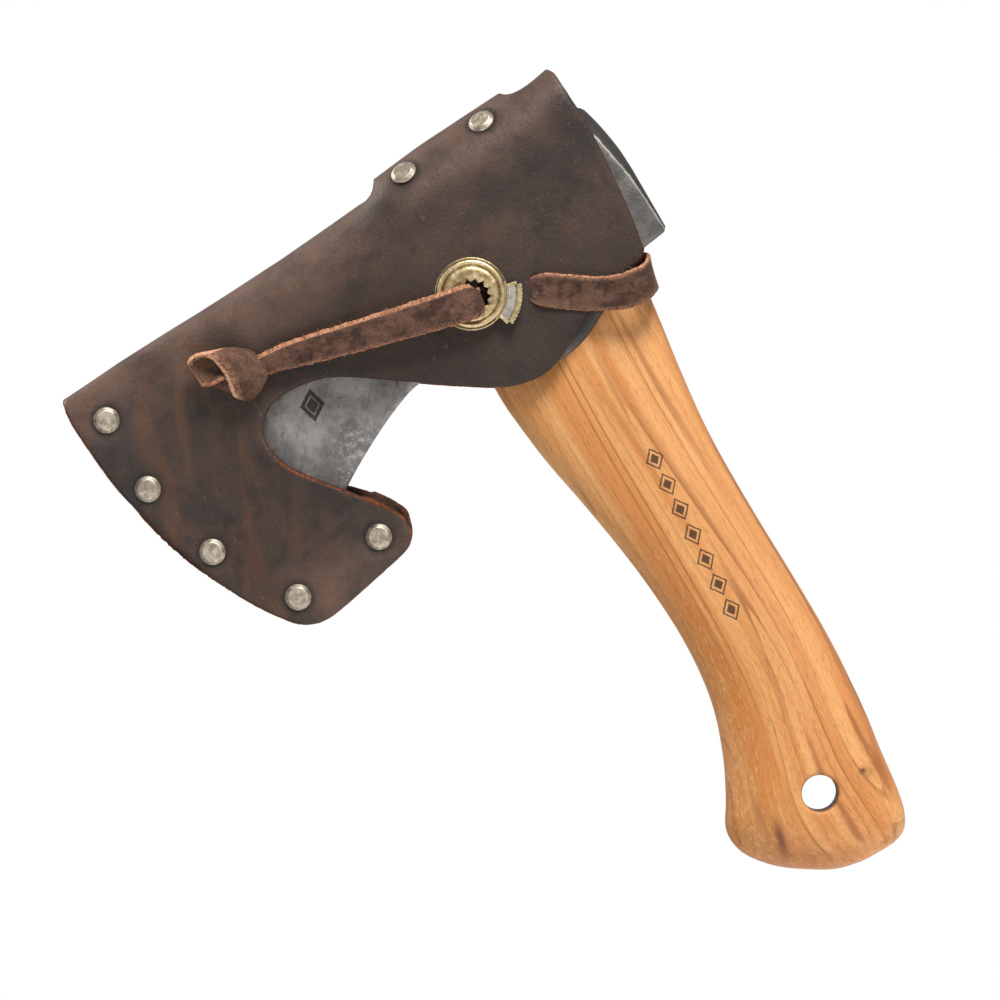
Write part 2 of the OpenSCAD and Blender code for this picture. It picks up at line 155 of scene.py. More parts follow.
def arc(centre, radius, start, end, count):
    """Points on a circle between two angles in degrees."""
    a = np.radians(np.linspace(start, end, count))
    return np.stack([centre[0] + radius * np.cos(a), centre[1] + radius * np.sin(a)], axis=1)


def field(points, size, seed, detail=3):
    """Smooth noise, about -1 to 1, at each point."""
    shift = Vector((seed * 17.3, seed * 5.1, seed * 9.7))
    return np.array([noise.fractal(Vector(p) / size + shift, 1.0, 2.0, detail) for p in points])


# ---- flat sheets cut to an outline ----------------------------------------------------------

def loop_edges(loops):
    """Start and end of every edge of the closed loops."""
    return np.concatenate(loops), np.concatenate([np.roll(loop, -1, axis=0) for loop in loops])


BATCH = 1500        # points measured at once, which bounds the memory


def segment_distance(points, a, b):
    """Distance from each point to the nearest of the segments from a to b."""
    d = b - a
    length2 = np.maximum((d * d).sum(1), 1e-12)
    best = np.empty(len(points))
    for i in range(0, len(points), BATCH):
        p = points[i:i + BATCH, None, :]
        t = np.clip(((p - a) * d).sum(2) / length2, 0, 1)
        best[i:i + BATCH] = np.sqrt(((p - a - t[..., None] * d)**2).sum(2).min(1))
    return best


def inside(points, loops):
    """Whether each point is inside the outline and outside its holes."""
    a, b = loop_edges(loops)
    result = np.zeros(len(points), bool)
    for i in range(0, len(points), BATCH):
        x, y = points[i:i + BATCH, 0:1], points[i:i + BATCH, 1:2]
        spans = (a[:, 1] > y) != (b[:, 1] > y)
        rise = np.where(b[:, 1] == a[:, 1], 1, b[:, 1] - a[:, 1])
        cross = a[:, 0] + (y - a[:, 1]) * (b[:, 0] - a[:, 0]) / rise
        result[i:i + BATCH] = (spans & (x < cross)).sum(1) % 2 == 1
    return result


def outward(loop, other_loops):
    """Unit normals of a loop's points, pointing out of the sheet."""
    d = np.roll(loop, -1, axis=0) - np.roll(loop, 1, axis=0)
    n = unit(np.stack([d[:, 1], -d[:, 0]], axis=1))
    return -n if inside(loop + 0.05 * n, other_loops).mean() > 0.5 else n


class Sheet:
    """A triangulated flat outline with holes: points, triangles, boundary loops and edge distance.

    Points stand about the spacing apart, and in rings at set distances along the boundary.
    """

    def __init__(self, loops, spacing, rings):
        loops = [np.asarray(loop, float) for loop in loops]
        edges = loop_edges(loops)
        self.normals = [outward(loop, loops) for loop in loops]
        near_edge = []
        for ring in rings:
            for loop, normal in zip(loops, self.normals):
                moved = (loop - ring * normal)[::2] if ring > 0.6 else loop - ring * normal
                near_edge.append(moved[segment_distance(moved, *edges) > 0.93 * ring])
        low, high = loops[0].min(0), loops[0].max(0)
        rows = np.arange(low[1], high[1], spacing * 0.866)
        grid = np.array([
            (x + (0.5 * spacing if r % 2 else 0), y)
            for r, y in enumerate(rows) for x in np.arange(low[0], high[0], spacing)
        ])
        grid = grid[segment_distance(grid, *edges) > (rings[-1] + 0.55 * spacing)]
        extra = np.concatenate([*near_edge, grid])
        points = np.concatenate([*loops, extra[inside(extra, loops)]])
        self.points = points
        self.edge = segment_distance(points, *edges)
        self.loops, boundary, start = [], [], 0
        for loop in loops:
            ids = np.arange(start, start + len(loop))
            boundary += zip(ids.tolist(), np.roll(ids, -1).tolist())
            self.loops.append(ids)
            start += len(loop)
        self.edge[:start] = 0
        made = delaunay_2d_cdt([Vector(p) for p in points], boundary, [], 1, 1e-5)
        if len(made[0]) != len(points):
            raise ValueError(f"outline crosses itself: {len(points)} points became {len(made[0])}")
        triangles = np.array(made[2])
        triangles = triangles[inside(points[triangles].mean(1), loops)]
        a, b, c = (points[triangles[:, k]] for k in range(3))
        turn = (b[:, 0] - a[:, 0]) * (c[:, 1] - a[:, 1]) - (b[:, 1] - a[:, 1]) * (c[:, 0] - a[:, 0])
        triangles[turn < 0] = triangles[turn < 0][:, ::-1]
        self.triangles = triangles


def surface_normals(surface, q):
    """Normals of a surface function of two numbers, on the side its first axis turns to its second."""
    step = 0.05
    dx, dv = np.array([step, 0]), np.array([0, step])
    return unit(np.cross(surface(q + dx) - surface(q - dx), surface(q + dv) - surface(q - dv)))


def ring_quads(rings):
    """Quads from each ring of point numbers to the next."""
    quads = []
    for a, b in zip(rings, rings[1:]):
        quads += zip(a, b, np.roll(b, -1), np.roll(a, -1))
    return quads


def tube_faces(count, size, wrap=False):
    """Faces of a number of rings of points, with the last joined to the first or both ends closed."""
    rings = np.arange(count * size).reshape(count, size)
    if wrap:
        return ring_quads(np.vstack([rings, rings[:1]]))
    return ring_quads(rings) + [rings[0][::-1], rings[-1]]


def thick_sheet(sheet, surface, thickness, flip=False, relief=0.0, corner=0.7, fuzz=0.12, raw_where=None):
    """Points, faces and material numbers of a sheet of leather: 0 the grain side, 1 the cut edge, 2 the back.

    Where raw_where(points) is true, the cut colour shows on the rounded corner too.
    """
    q = sheet.points
    count = len(q)
    base = surface(q)
    normal = surface_normals(surface, q) * (-1 if flip else 1)
    inset = np.clip(sheet.edge, 0, corner)
    drop = corner - np.sqrt(corner**2 - (corner - inset)**2)
    points = [base + normal * (relief - drop)[:, None], base - normal * (thickness - drop)[:, None]]
    faces, slots = [], []
    raw = np.zeros(len(sheet.triangles), bool)
    if raw_where:
        raw = (sheet.edge[sheet.triangles].max(1) < 0.5) & raw_where(base[sheet.triangles].mean(1))
    for triangle, is_raw in zip(sheet.triangles, raw):
        front = triangle[::-1] if flip else triangle
        faces += [front, front[::-1] + count]
        slots += [int(is_raw), 2]
    start = 2 * count
    for ids, out_flat in zip(sheet.loops, sheet.normals):
        out = unit(surface(q[ids] + 0.05 * out_flat) - base[ids])
        rings = [ids]
        for share in (0.2, 0.5, 0.8):
            rough = fuzz * rng.uniform(-1, 1, (len(ids), 1))
            swell = 0.12 * math.sin(math.pi * share)
            depth = corner + (thickness - 2 * corner) * share
            points.append(base[ids] - normal[ids] * depth + out * (swell + rough))
            rings.append(np.arange(start, start + len(ids)))
            start += len(ids)
        quads = ring_quads(rings + [ids + count])
        faces += quads
        slots += [1] * len(quads)
    return np.concatenate(points), faces, slots


def add_attributes(mesh, attributes):
    """Stores one number, or one vector, per point under each name."""
    for name, values in attributes.items():
        values = np.asarray(values, np.float32)
        kind, entry = ("FLOAT", "value") if values.ndim == 1 else ("FLOAT_VECTOR", "vector")
        mesh.attributes.new(name, kind, "POINT").data.foreach_set(entry, values.ravel())


def make_mesh(name, points, faces, materials, body=None, spot=None, slots=None, attributes=None, smooth=True):
    """A new piece from points in millimetres, riding on a body."""
    mesh = bpy.data.meshes.new(name)
    mesh.from_pydata((np.asarray(points) * MM).tolist(), [], [list(map(int, face)) for face in faces])
    for material in materials:
        mesh.materials.append(material)
    if slots is not None:
        mesh.polygons.foreach_set("material_index", slots)
    mesh.polygons.foreach_set("use_smooth", [smooth] * len(mesh.polygons))
    add_attributes(mesh, attributes or {})
    mesh.update()
    repair = bmesh.new()
    repair.from_mesh(mesh)
    bmesh.ops.recalc_face_normals(repair, faces=repair.faces)
    repair.to_mesh(mesh)
    repair.free()
    piece = bpy.data.objects.new(name, mesh)
    bpy.context.scene.collection.objects.link(piece)
    if body:
        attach(piece, body)
    return piece


# ---- materials ------------------------------------------------------------------------------

def srgb(r, g, b):
    """A shader's colour from the usual 0 to 255."""
    def linear(v):
        v /= 255
        return v / 12.92 if v <= 0.04045 else ((v + 0.055) / 1.055)**2.4
    return (linear(r), linear(g), linear(b), 1)


class Nodes:
    """Short calls that build one material: colours laid over one another, and bumps in a chain."""

    def __init__(self, name):
        self.material = bpy.data.materials.new(name)
        self.material.use_nodes = True
        self.tree = self.material.node_tree
        self.shader = self.tree.nodes["Principled BSDF"]
        self.color = None
        self.normal = None

    def add(self, kind, inputs=None, **settings):
        """A node with its settings, and its inputs set or linked."""
        node = self.tree.nodes.new(kind)
        for key, value in settings.items():
            setattr(node, key, value)
        for key, value in (inputs or {}).items():
            self.put(node.inputs[key], value)
        return node

    def put(self, socket, value):
        if isinstance(value, bpy.types.NodeSocket):
            self.tree.links.new(value, socket)
        else:
            socket.default_value = value

    def place(self, stretch=(1, 1, 1), attribute=None, turn=0.0, origin=(0, 0, 0)):
        """Coordinates in millimetres: the piece's own, or a stored attribute's. The turn is about Y."""
        scale = 1 / MM
        source = self.add("ShaderNodeTexCoord").outputs["Object"]
        if attribute:
            scale = 1
            source = self.add("ShaderNodeAttribute", attribute_name=attribute).outputs["Vector"]
        if turn:
            moved = self.add("ShaderNodeVectorMath", {0: source, 1: [v * MM for v in origin]},
                             operation="SUBTRACT")
            turned = self.add("ShaderNodeMapping", {"Vector": moved.outputs[0], "Rotation": (0, turn, 0)})
            source = turned.outputs["Vector"]
        sizes = [scale * s for s in stretch]
        return self.add("ShaderNodeMapping", {"Vector": source, "Scale": sizes}).outputs["Vector"]

    def noise(self, vector, size, detail=4.0, rough=0.55, twist=0.0):
        """Cloudy noise from 0 to 1, with features of about the size in millimetres."""
        node = self.add("ShaderNodeTexNoise", {
            "Vector": vector, "Scale": 1 / size, "Detail": detail, "Roughness": rough, "Distortion": twist})
        return node.outputs["Fac"]

    def cells(self, vector, size, feature="F1"):
        """Distance from the middles of scattered cells."""
        node = self.add("ShaderNodeTexVoronoi", {"Vector": vector, "Scale": 1 / size}, feature=feature)
        return node.outputs["Distance"]

    def ramp(self, value, low, high, to_low=0.0, to_high=1.0):
        """The value carried smoothly from one range to another."""
        node = self.add("ShaderNodeMapRange", {
            "Value": value, "From Min": low, "From Max": high, "To Min": to_low, "To Max": to_high},
            interpolation_type="SMOOTHSTEP")
        return node.outputs["Result"]

    def spots(self, vector, size, low, high, *noise_settings):
        """Noise of a size, hardened into patches: 0 below low and 1 above high."""
        return self.ramp(self.noise(vector, size, *noise_settings), low, high)

    def attribute(self, name):
        return self.add("ShaderNodeAttribute", attribute_name=name).outputs["Fac"]

    def math(self, operation, a, b=0.0):
        return self.add("ShaderNodeMath", {0: a, 1: b}, operation=operation).outputs[0]

    def both(self, a, b):
        """One share within another."""
        return self.math("MULTIPLY", a, b)

    def lozenges(self, centre, turn, count, pitch, size, hollow):
        """One inside a row of plain lozenges on the front face, each with a hollow ring; 0 elsewhere."""
        placed = self.place(turn=turn, origin=(centre[0], 0, centre[1]))
        at = self.add("ShaderNodeSeparateXYZ", {"Vector": placed})
        across, along = at.outputs["X"], at.outputs["Z"]
        if count > 1:
            shifted = self.math("ADD", along, pitch * count / 2)
            row = self.both(self.math("GREATER_THAN", shifted, 0.0),
                            self.math("LESS_THAN", shifted, pitch * count))
            along = self.math("SUBTRACT", self.math("PINGPONG", shifted, pitch / 2), pitch / 2)
        far = self.math("ADD", self.math("DIVIDE", self.math("ABSOLUTE", along), size[0]),
                        self.math("DIVIDE", self.math("ABSOLUTE", across), size[1]))
        far = self.math("ADD", far, self.ramp(self.noise(self.place(), 1.2, 3), 0.3, 0.7, -0.03, 0.03))
        solid = self.ramp(far, 1.0, 0.92)
        ring = self.both(self.ramp(far, 0.44, 0.52), self.ramp(far, 0.52 + hollow, 0.44 + hollow))
        solid = self.math("SUBTRACT", solid, ring)
        return self.both(solid, row) if count > 1 else solid

    def mix(self, share, a, b):
        node = self.add("ShaderNodeMix", {"Factor": share}, data_type="RGBA")
        self.put(node.inputs[6], a)
        self.put(node.inputs[7], b)
        return node.outputs[2]

    def base(self, share, low, high):
        """The first colour: from low to high as the share rises."""
        self.color = self.mix(share, srgb(*low), srgb(*high))

    def tint(self, share, color, strength=1.0):
        """Lays one more colour over the others, as strong as the share."""
        if strength != 1.0:
            share = self.both(share, strength)
        self.color = self.mix(share, self.color, srgb(*color))

    def bump(self, height, depth, strength=1.0):
        """One more bump, whose height runs from 0 to 1 over the depth in millimetres."""
        node = self.add("ShaderNodeBump", {"Height": height, "Distance": depth * MM, "Strength": strength})
        if self.normal is not None:
            self.put(node.inputs["Normal"], self.normal)
        self.normal = node.outputs["Normal"]

    def finish(self, **inputs):
        names = {"color": "Base Color", "rough": "Roughness", "metal": "Metallic", "normal": "Normal",
                 "specular": "Specular IOR Level", "coat": "Coat Weight", "coat_rough": "Coat Roughness",
                 "sheen": "Sheen Weight", "sheen_rough": "Sheen Roughness", "sheen_tint": "Sheen Tint"}
        made = {"color": self.color, "normal": self.normal}
        made.update(inputs)
        for key, value in made.items():
            if value is not None:
                self.put(self.shader.inputs[names[key]], value)
        return self.material


def leather_grain():
    """The waxed outside of the sheath: dark brown, rust bands near the bit, paler where it is bent and under
    a painted highlight along the fold, with painted shade towards the bottom of the leaf's rear part and a
    painted shadow round each rivet.
    """
    m = Nodes("leather_grain")
    at = m.place()
    tall = m.place(stretch=(1, 1, 0.24), turn=math.radians(-24))
    bit = m.attribute("bit")
    m.base(m.spots(at, 30, 0.38, 0.62, 4, 0.6), (47, 37, 32), (70, 52, 42))
    m.tint(m.spots(at, 9, 0.5, 0.68, 5, 0.65), (84, 58, 45), 0.6)
    m.tint(m.spots(at, 5.5, 0.54, 0.7, 5, 0.65, 0.3), (42, 35, 32), 0.55)
    m.tint(m.both(m.spots(tall, 10, 0.48, 0.62, 3, 0.5, 0.3), bit), (96, 62, 41), 0.5)
    m.tint(m.both(m.spots(tall, 14, 0.5, 0.64, 3, 0.5, 0.4), bit), (46, 41, 40), 0.6)
    # Paler along the fold and the flap tops: partly pull-up of the bent leather, partly a painted highlight
    bent = m.ramp(m.noise(at, 15, 5, 0.65), 0.32, 0.66, 0.35, 1)
    m.tint(m.both(m.attribute("pull_and_highlight"), bent), (120, 92, 77), 0.72)
    # Painted shade: darker towards the bottom of the leaf's rear part
    m.tint(m.attribute("shade_below"), (30, 24, 21), 0.5)
    m.tint(m.spots(at, 0.8, 0.6, 0.76, 3, 0.6), (132, 100, 80), 0.35)
    m.tint(m.spots(at, 0.55, 0.52, 0.68, 3, 0.65), (26, 20, 17), 0.42)
    m.tint(m.spots(m.place(stretch=(1, 1, 0.5)), 3.1, 0.74, 0.8, 2, 0.5), (140, 98, 74), 0.35)
    # Painted shadow: a dark ring in the leather round each rivet
    m.tint(m.attribute("pressed"), (20, 15, 13), 0.85)
    m.bump(m.cells(at, 0.75, "SMOOTH_F1"), 0.12, 0.6)
    m.bump(m.noise(at, 0.45, 4, 0.7), 0.07, 0.6)
    m.bump(m.noise(at, 2.6, 6, 0.7), 0.26, 0.55)
    return m.finish(rough=m.ramp(m.noise(at, 5, 4), 0.3, 0.7, 0.43, 0.58), specular=0.46)


def cut_leather(name, bright, dark, size=1.0):
    """A raw edge or the fleshy back: fibrous, without shine."""
    m = Nodes(name)
    at = m.place()
    m.base(m.spots(at, 1.3 * size, 0.34, 0.66, 5, 0.7), dark, bright)
    m.tint(m.spots(at, 9 * size, 0.45, 0.7, 3), dark, 0.5)
    m.bump(m.noise(at, 0.5 * size, 5, 0.75), 0.35, 0.9)
    return m.finish(rough=0.88, specular=0.2, sheen=0.25, sheen_rough=0.5, sheen_tint=srgb(*bright))


def lace_suede():
    """The lace's rough face, in its own lengthwise coordinates so that it moves with the lace."""
    m = Nodes("lace_suede")
    at = m.place(attribute="lay")
    m.base(m.spots(at, 6, 0.36, 0.64, 4, 0.65), (74, 52, 43), (118, 86, 70))
    m.tint(m.spots(at, 4.6, 0.56, 0.68, 4, 0.6, 0.3), (50, 40, 36), 0.7)
    long_way = m.place(attribute="lay", stretch=(0.4, 1, 1))
    m.tint(m.spots(long_way, 0.9, 0.52, 0.7, 5, 0.75), (162, 122, 102), 0.5)
    m.tint(m.spots(at, 0.35, 0.5, 0.66, 3, 0.7), (40, 28, 24), 0.5)
    m.tint(m.both(m.attribute("rim"), m.spots(at, 0.9, 0.36, 0.58, 4, 0.7)), (188, 138, 110))
    m.bump(m.noise(at, 0.5, 5, 0.75), 0.4, 0.9)
    m.bump(m.noise(at, 3.0, 4, 0.65), 0.5, 0.5)
    return m.finish(rough=0.85, specular=0.22, sheen=0.15, sheen_rough=0.5, sheen_tint=srgb(190, 150, 130))


def lace_cut():
    """The lace's cut edges: pale fibres over a darker core, with a painted highlight where the rim is above
    1.
    """
    m = Nodes("lace_cut")
    at = m.place(attribute="lay")
    m.base(m.spots(at, 0.8, 0.32, 0.66, 5, 0.7), (128, 76, 52), (218, 160, 126))
    m.tint(m.spots(at, 6, 0.5, 0.68, 3), (112, 72, 54), 0.5)
    # Painted highlight: cut edges paler still where the rim is above 1
    pale = m.mix(m.spots(at, 0.8, 0.3, 0.6, 4, 0.7), srgb(204, 136, 98), srgb(255, 205, 166))
    m.color = m.mix(m.ramp(m.attribute("rim"), 1.0, 2.0), m.color, pale)
    m.bump(m.noise(at, 0.4, 5, 0.75), 0.3, 0.9)
    return m.finish(rough=0.9, specular=0.12)


def forged_steel():
    """Dark grey forged steel: cloudy scale, fine pits, bright scuffs near the beard and a plain pressed mark.

    The attribute beyond is the distance behind the poll's crease, in millimetres: painted shade lies on the
    chamfer behind the crease and on the cheek before it, and a painted highlight runs along the crease. The
    attribute lip puts painted shade on the cheek near the handle.
    """
    m = Nodes("forged_steel")
    at = m.place()
    m.base(m.spots(at, 12, 0.38, 0.64, 5, 0.65), (128, 124, 121), (172, 167, 163))
    m.tint(m.spots(at, 2.2, 0.5, 0.75, 5, 0.7), (188, 183, 178), 0.4)
    brushed = m.place(stretch=(0.25, 1, 1), turn=math.radians(50))
    m.tint(m.spots(brushed, 1.4, 0.52, 0.7, 4, 0.65), (84, 82, 80), 0.4)
    m.tint(m.both(m.spots(at, 1.5, 0.5, 0.64, 5, 0.75, 0.6), m.attribute("scuff")), (226, 222, 216))
    m.tint(m.spots(at, 1.1, 0.6, 0.74, 3, 0.6), (46, 44, 43), 0.6)
    beyond = m.math("ADD", m.attribute("beyond"), m.ramp(m.noise(at, 2, 3), 0.3, 0.7, -0.15, 0.15))
    # Painted shade on the poll's chamfer behind the crease
    m.tint(m.ramp(beyond, 0.0, 0.5), (70, 66, 63), 0.9)
    # Painted shade on the cheek in the last 12 mm before the crease
    m.tint(m.ramp(beyond, -12.0, -2.0), (88, 84, 80), 0.66)
    # Painted shade on the cheek's lower rear, near the handle
    m.tint(m.attribute("lip"), (70, 66, 63), 0.85)
    # Painted highlight: a pale line along the poll's crease
    crease = m.both(m.ramp(beyond, -0.55, -0.15), m.ramp(beyond, 0.2, 0.05))
    m.tint(crease, (226, 220, 210), 0.55)
    mark = m.both(m.lozenges(MARK_CENTRE, MARK_TURN, 1, 0, MARK_SIZE, 0.16), m.attribute("flat"))
    m.tint(mark, (30, 29, 28), 0.8)
    m.bump(m.noise(at, 0.9, 5, 0.7), 0.11, 0.9)
    m.bump(m.noise(at, 6.5, 3, 0.5), 0.4, 0.5)
    m.bump(m.math("SUBTRACT", 1.0, mark), 0.5, 0.8)
    return m.finish(rough=m.ramp(m.noise(at, 4, 4), 0.3, 0.7, 0.38, 0.56), metal=0.75)


def oiled_hickory():
    """Hickory in coordinates that follow the handle: broad tan bands, fine dark growth lines, short pores."""
    m = Nodes("oiled_hickory")
    front = m.attribute("front")

    def grain(across, through, length):
        return m.place(stretch=(across, through, length), attribute="grain")

    m.base(m.spots(grain(1, 0.6, 0.04), 9, 0.36, 0.64, 4, 0.55, 0.3), (208, 134, 68), (234, 172, 108))
    m.tint(m.spots(grain(1, 0.6, 0.05), 13, 0.5, 0.7, 3), (212, 132, 76), 0.5)
    rings = m.math("FRACT", m.both(m.noise(grain(1, 0.35, 0.022), 17, 2, 0.45, 0.2), 15.0))
    line = m.both(m.ramp(rings, 0.55, 0.93), m.ramp(rings, 1.0, 0.94))
    faint = m.ramp(m.noise(grain(1, 1, 0.05), 6, 2), 0.4, 0.62, 0.2, 0.78)
    m.tint(m.both(line, faint), (156, 94, 48))
    streak = m.noise(grain(1, 0.8, 0.02), 1.3, 4, 0.7, 0.3)
    m.tint(m.ramp(streak, 0.5, 0.72), (184, 114, 56), 0.45)
    m.tint(m.ramp(streak, 0.46, 0.3), (244, 192, 132), 0.4)
    m.tint(m.spots(grain(1, 1, 0.09), 0.3, 0.54, 0.66, 3, 0.6), (132, 80, 42), 0.42)
    # Painted shade: the handle's front edge darker and more orange
    m.tint(front, (184, 112, 50), 0.5)
    m.tint(m.both(m.spots(grain(1, 1, 0.16), 0.42, 0.58, 0.66, 2, 0.5), front), (240, 206, 158), 0.42)
    m.tint(m.attribute("stain"), (96, 42, 26))
    # Painted shade inside the hanging hole
    m.tint(m.attribute("bore"), (96, 58, 30))
    burn = m.both(m.lozenges(BRAND_CENTRE, BRAND_TURN, 7, 8.4, (3.8, 3.0), 0.3), m.attribute("flat"))
    m.tint(burn, (52, 37, 28), 0.9)
    m.bump(m.noise(grain(1, 1, 0.06), 0.4, 3, 0.6), 0.06, 0.7)
    m.bump(m.noise(m.place(), 9, 2), 0.25, 0.3)
    m.bump(m.math("SUBTRACT", 1.0, burn), 0.2, 0.6)
    return m.finish(rough=m.ramp(streak, 0.3, 0.7, 0.42, 0.54), specular=0.42, coat=0.1, coat_rough=0.35)


def end_grain(name, pale, dark):
    """Wood cut across: small pores and faint rings."""
    m = Nodes(name)
    at = m.place()
    m.base(m.spots(m.place(stretch=(0.3, 1, 1)), 1.6, 0.35, 0.66, 4), pale, dark)
    m.tint(m.ramp(m.cells(at, 0.6), 0.3, 0.16), (92, 60, 36), 0.7)
    m.bump(m.noise(at, 0.5, 3), 0.1, 0.6)
    return m.finish(rough=0.6, specular=0.3)


def aged_metal(name, base, dark, bright, rough, pit):
    """Plated or cast metal with a speckled patina, small pits and rubbed high spots."""
    m = Nodes(name)
    at = m.place()
    worn = m.add("ShaderNodeNewGeometry").outputs["Pointiness"]
    m.base(m.spots(at, 1.5, 0.36, 0.64, 5, 0.65), base, bright)
    m.tint(m.spots(at, 0.55, 0.56, 0.7, 4, 0.7), dark, pit)
    m.tint(m.spots(at, 5, 0.52, 0.7, 2), dark, 0.35)
    m.tint(m.ramp(worn, 0.5, 0.56), bright, 0.5)
    m.tint(m.ramp(worn, 0.5, 0.44), dark, 0.7)
    m.bump(m.noise(at, 0.7, 4, 0.6), 0.06, 0.7)
    return m.finish(rough=m.ramp(m.noise(at, 1.2, 4), 0.3, 0.7, rough, rough + 0.16), metal=1.0)


# Plain marks: (x, z) of the middle, turn about Y and, for the head's, half its length and width
BRAND_CENTRE, BRAND_TURN = (5.8, 86.0), math.radians(-3)
MARK_CENTRE, MARK_TURN, MARK_SIZE = (-73.5, 176.5), math.radians(-20), (5.2, 3.8)

LEATHER_CUT = cut_leather("leather_cut", (148, 82, 50), (70, 42, 30))
LEATHER_BACK = cut_leather("leather_back", (96, 64, 48), (58, 41, 33), 2.0)
LEATHERS = [leather_grain(), LEATHER_CUT, LEATHER_BACK]
LACE_LEATHERS = [lace_suede(), lace_cut()]
STEEL = forged_steel()
HICKORY = oiled_hickory()
END_GRAIN = end_grain("hickory_end", (204, 152, 98), (160, 108, 64))
WEDGE_WOOD = end_grain("wedge_wood", (214, 182, 136), (178, 138, 92))
NICKEL = aged_metal("antique_nickel", (178, 160, 138), (98, 82, 64), (224, 212, 196), 0.4, 0.45)
BRASS = aged_metal("old_brass", (198, 168, 116), (98, 76, 44), (242, 222, 176), 0.32, 0.5)
LOCK_STEEL = aged_metal("lock_steel", (204, 198, 188), (110, 100, 84), (240, 236, 228), 0.3, 0.4)
SPRING_STEEL = aged_metal("spring_steel", (150, 150, 150), (90, 90, 90), (210, 210, 210), 0.25, 0.2)


# ---- sheath ---------------------------------------------------------------------------------

GAP_EDGE, GAP_REAR = 1.5, 14.9
TAPER_FROM, TAPER_TO = -30.0, -117.0
HOOK_Z = 137.2
FLAP_CENTRE = (2.34, 212.74)
FLAP_R = 15.36
FLAP_EDGE = 4.0         # unrolled distance of a flap's free edge from the fold line

TOP_LINE = np.array([
    (-145, 215.0), (-138, 215.2), (-117, 216.6), (-88.7, 217.6), (-60, 219.1), (-38, 221.0), (-29, 221.9),
    (-20, 222.6)])
EDGE_LINE = curve([
    (-138, 215.2), (-138.8, 208), (-138.3, 198), (-136.8, 184), (-133.8, 172.5), (-128.6, 155.5),
    (-121.3, 138), (-112.5, 124.6), (-107.5, 120.2), (-102, 118.7), (-94.5, 119.6), (-78, 123),
    (-70.6, 124.9), (-67.2, 127.9), (-66.6, 131.6), (-67.9, 135.7), (-75.9, 146.6), (-85.5, 158.4),
    (-89.8, 165), (-91.3, 171), (-90, 177.4), (-85.5, 181.9), (-79, 183.5), (-71, 182.8), (-61.4, 179.1),
    (-39.8, 164.3), (-21, 152.3), (-14.5, 149.8), (-8.5, 149.3), (-2.5, 151), (8, 157.5), (18, 161.8),
    (33.2, 164.6)], 6)
HOOK_LINE = EDGE_LINE[14 * 6:19 * 6 + 1]


def tilted_z(x, z):
    """Height in the row frame of a point on the flaps, whose line rises towards the poll."""
    along_flap = (np.asarray(x, float) + z * math.sin(ROOF_TILT)) / math.cos(ROOF_TILT)
    return along_flap * math.sin(ROOF_TILT) + z * math.cos(ROOF_TILT) - 0.8 * smoothstep(-2, -26, x)


def line_distance(x, z, line):
    """Distance on the side view from each place to an open line."""
    return segment_distance(np.column_stack([x, z]), line[:-1], line[1:])


def side_gap(x):
    """Half gap between the two sides, ahead of the pinch at the hook."""
    slope = (GAP_REAR - GAP_EDGE) / (TAPER_FROM - TAPER_TO)
    return GAP_EDGE + slope * (soft_ramp(x - TAPER_TO, 3) - soft_ramp(x - TAPER_FROM, 4))


def half_width(x, z):
    """Half width of the sheath's outside at a place on its side."""
    pinch = GAP_EDGE + soft_ramp(z - HOOK_Z, 1.2)
    gap = soft_min(side_gap(x), pinch, 1.0)
    flare = 1.3 * np.clip(1 - line_distance(x, z, HOOK_LINE) / 7, 0, 1)**2 * smoothstep(127, 134, z)
    hollow = 1.2 * np.exp(-((x + 62) / 22)**2) * smoothstep(206, 190, z) * smoothstep(140, 158, z)
    return np.maximum(gap - hollow, GAP_EDGE) + LEATHER_T + flare


def fold_top(x):
    """Height of the fold's crest."""
    return np.interp(x, TOP_LINE[:, 0], TOP_LINE[:, 1])


def fold_height(x):
    """Height of the fold's arch: as tall as it is half wide, nearly."""
    return 0.92 * (side_gap(np.minimum(x, TAPER_FROM)) + LEATHER_T)


def arch_length(x):
    """Length of half the fold's arch, taken as a quarter of an ellipse."""
    x = np.minimum(x, TAPER_FROM)
    return math.pi / 4 * (side_gap(x) + LEATHER_T + fold_height(x))


def flap_share(x, s):
    """How far the leather has risen from the fold's shape to the flap's: abruptly near the cut's edge."""
    abrupt = np.clip((x + 31) / 7.1, 0, 1)**3
    low = smoothstep(3, 11, s)
    return (1 - low) * abrupt + low * smoothstep(-38, -16, x)


def side_start(x):
    """Height where the arch ends and the flat side begins."""
    far_down = 99
    flap = flap_share(x, far_down)
    return (1 - flap) * (fold_top(x) - fold_height(x)) + flap * tilted_z(x, FLAP_CENTRE[1])


def sheath_surface(q):
    """Outside of the sheath at (x, v): v is the distance from the fold, negative on the far leaf."""
    x, v = q[:, 0], q[:, 1]
    s = np.abs(v)
    side = np.where(v > 0, -1.0, 1.0)
    length = arch_length(x)
    z_side = side_start(x) - (s - length)
    width = half_width(x, np.minimum(z_side, side_start(x)))
    turn = np.clip(s / length, 0, 1) * math.pi / 2
    on_side = s > length
    y_fold = np.where(on_side, width, width * np.sin(turn))
    z_fold = np.where(on_side, fold_top(x) - fold_height(x) - (s - length),
                      fold_top(x) - fold_height(x) * (1 - np.cos(turn)))
    lift = np.clip((length - s) / FLAP_R, 0, 2)
    y_flap = np.where(on_side, width, width - FLAP_R + FLAP_R * np.cos(lift))
    centre = tilted_z(x, FLAP_CENTRE[1])
    z_flap = np.where(on_side, centre - (s - length), centre + FLAP_R * np.sin(lift))
    flap = flap_share(x, s)
    y = (1 - flap) * y_fold + flap * y_flap
    z = (1 - flap) * z_fold + flap * z_flap
    return np.stack([x, side * y, z], axis=1)


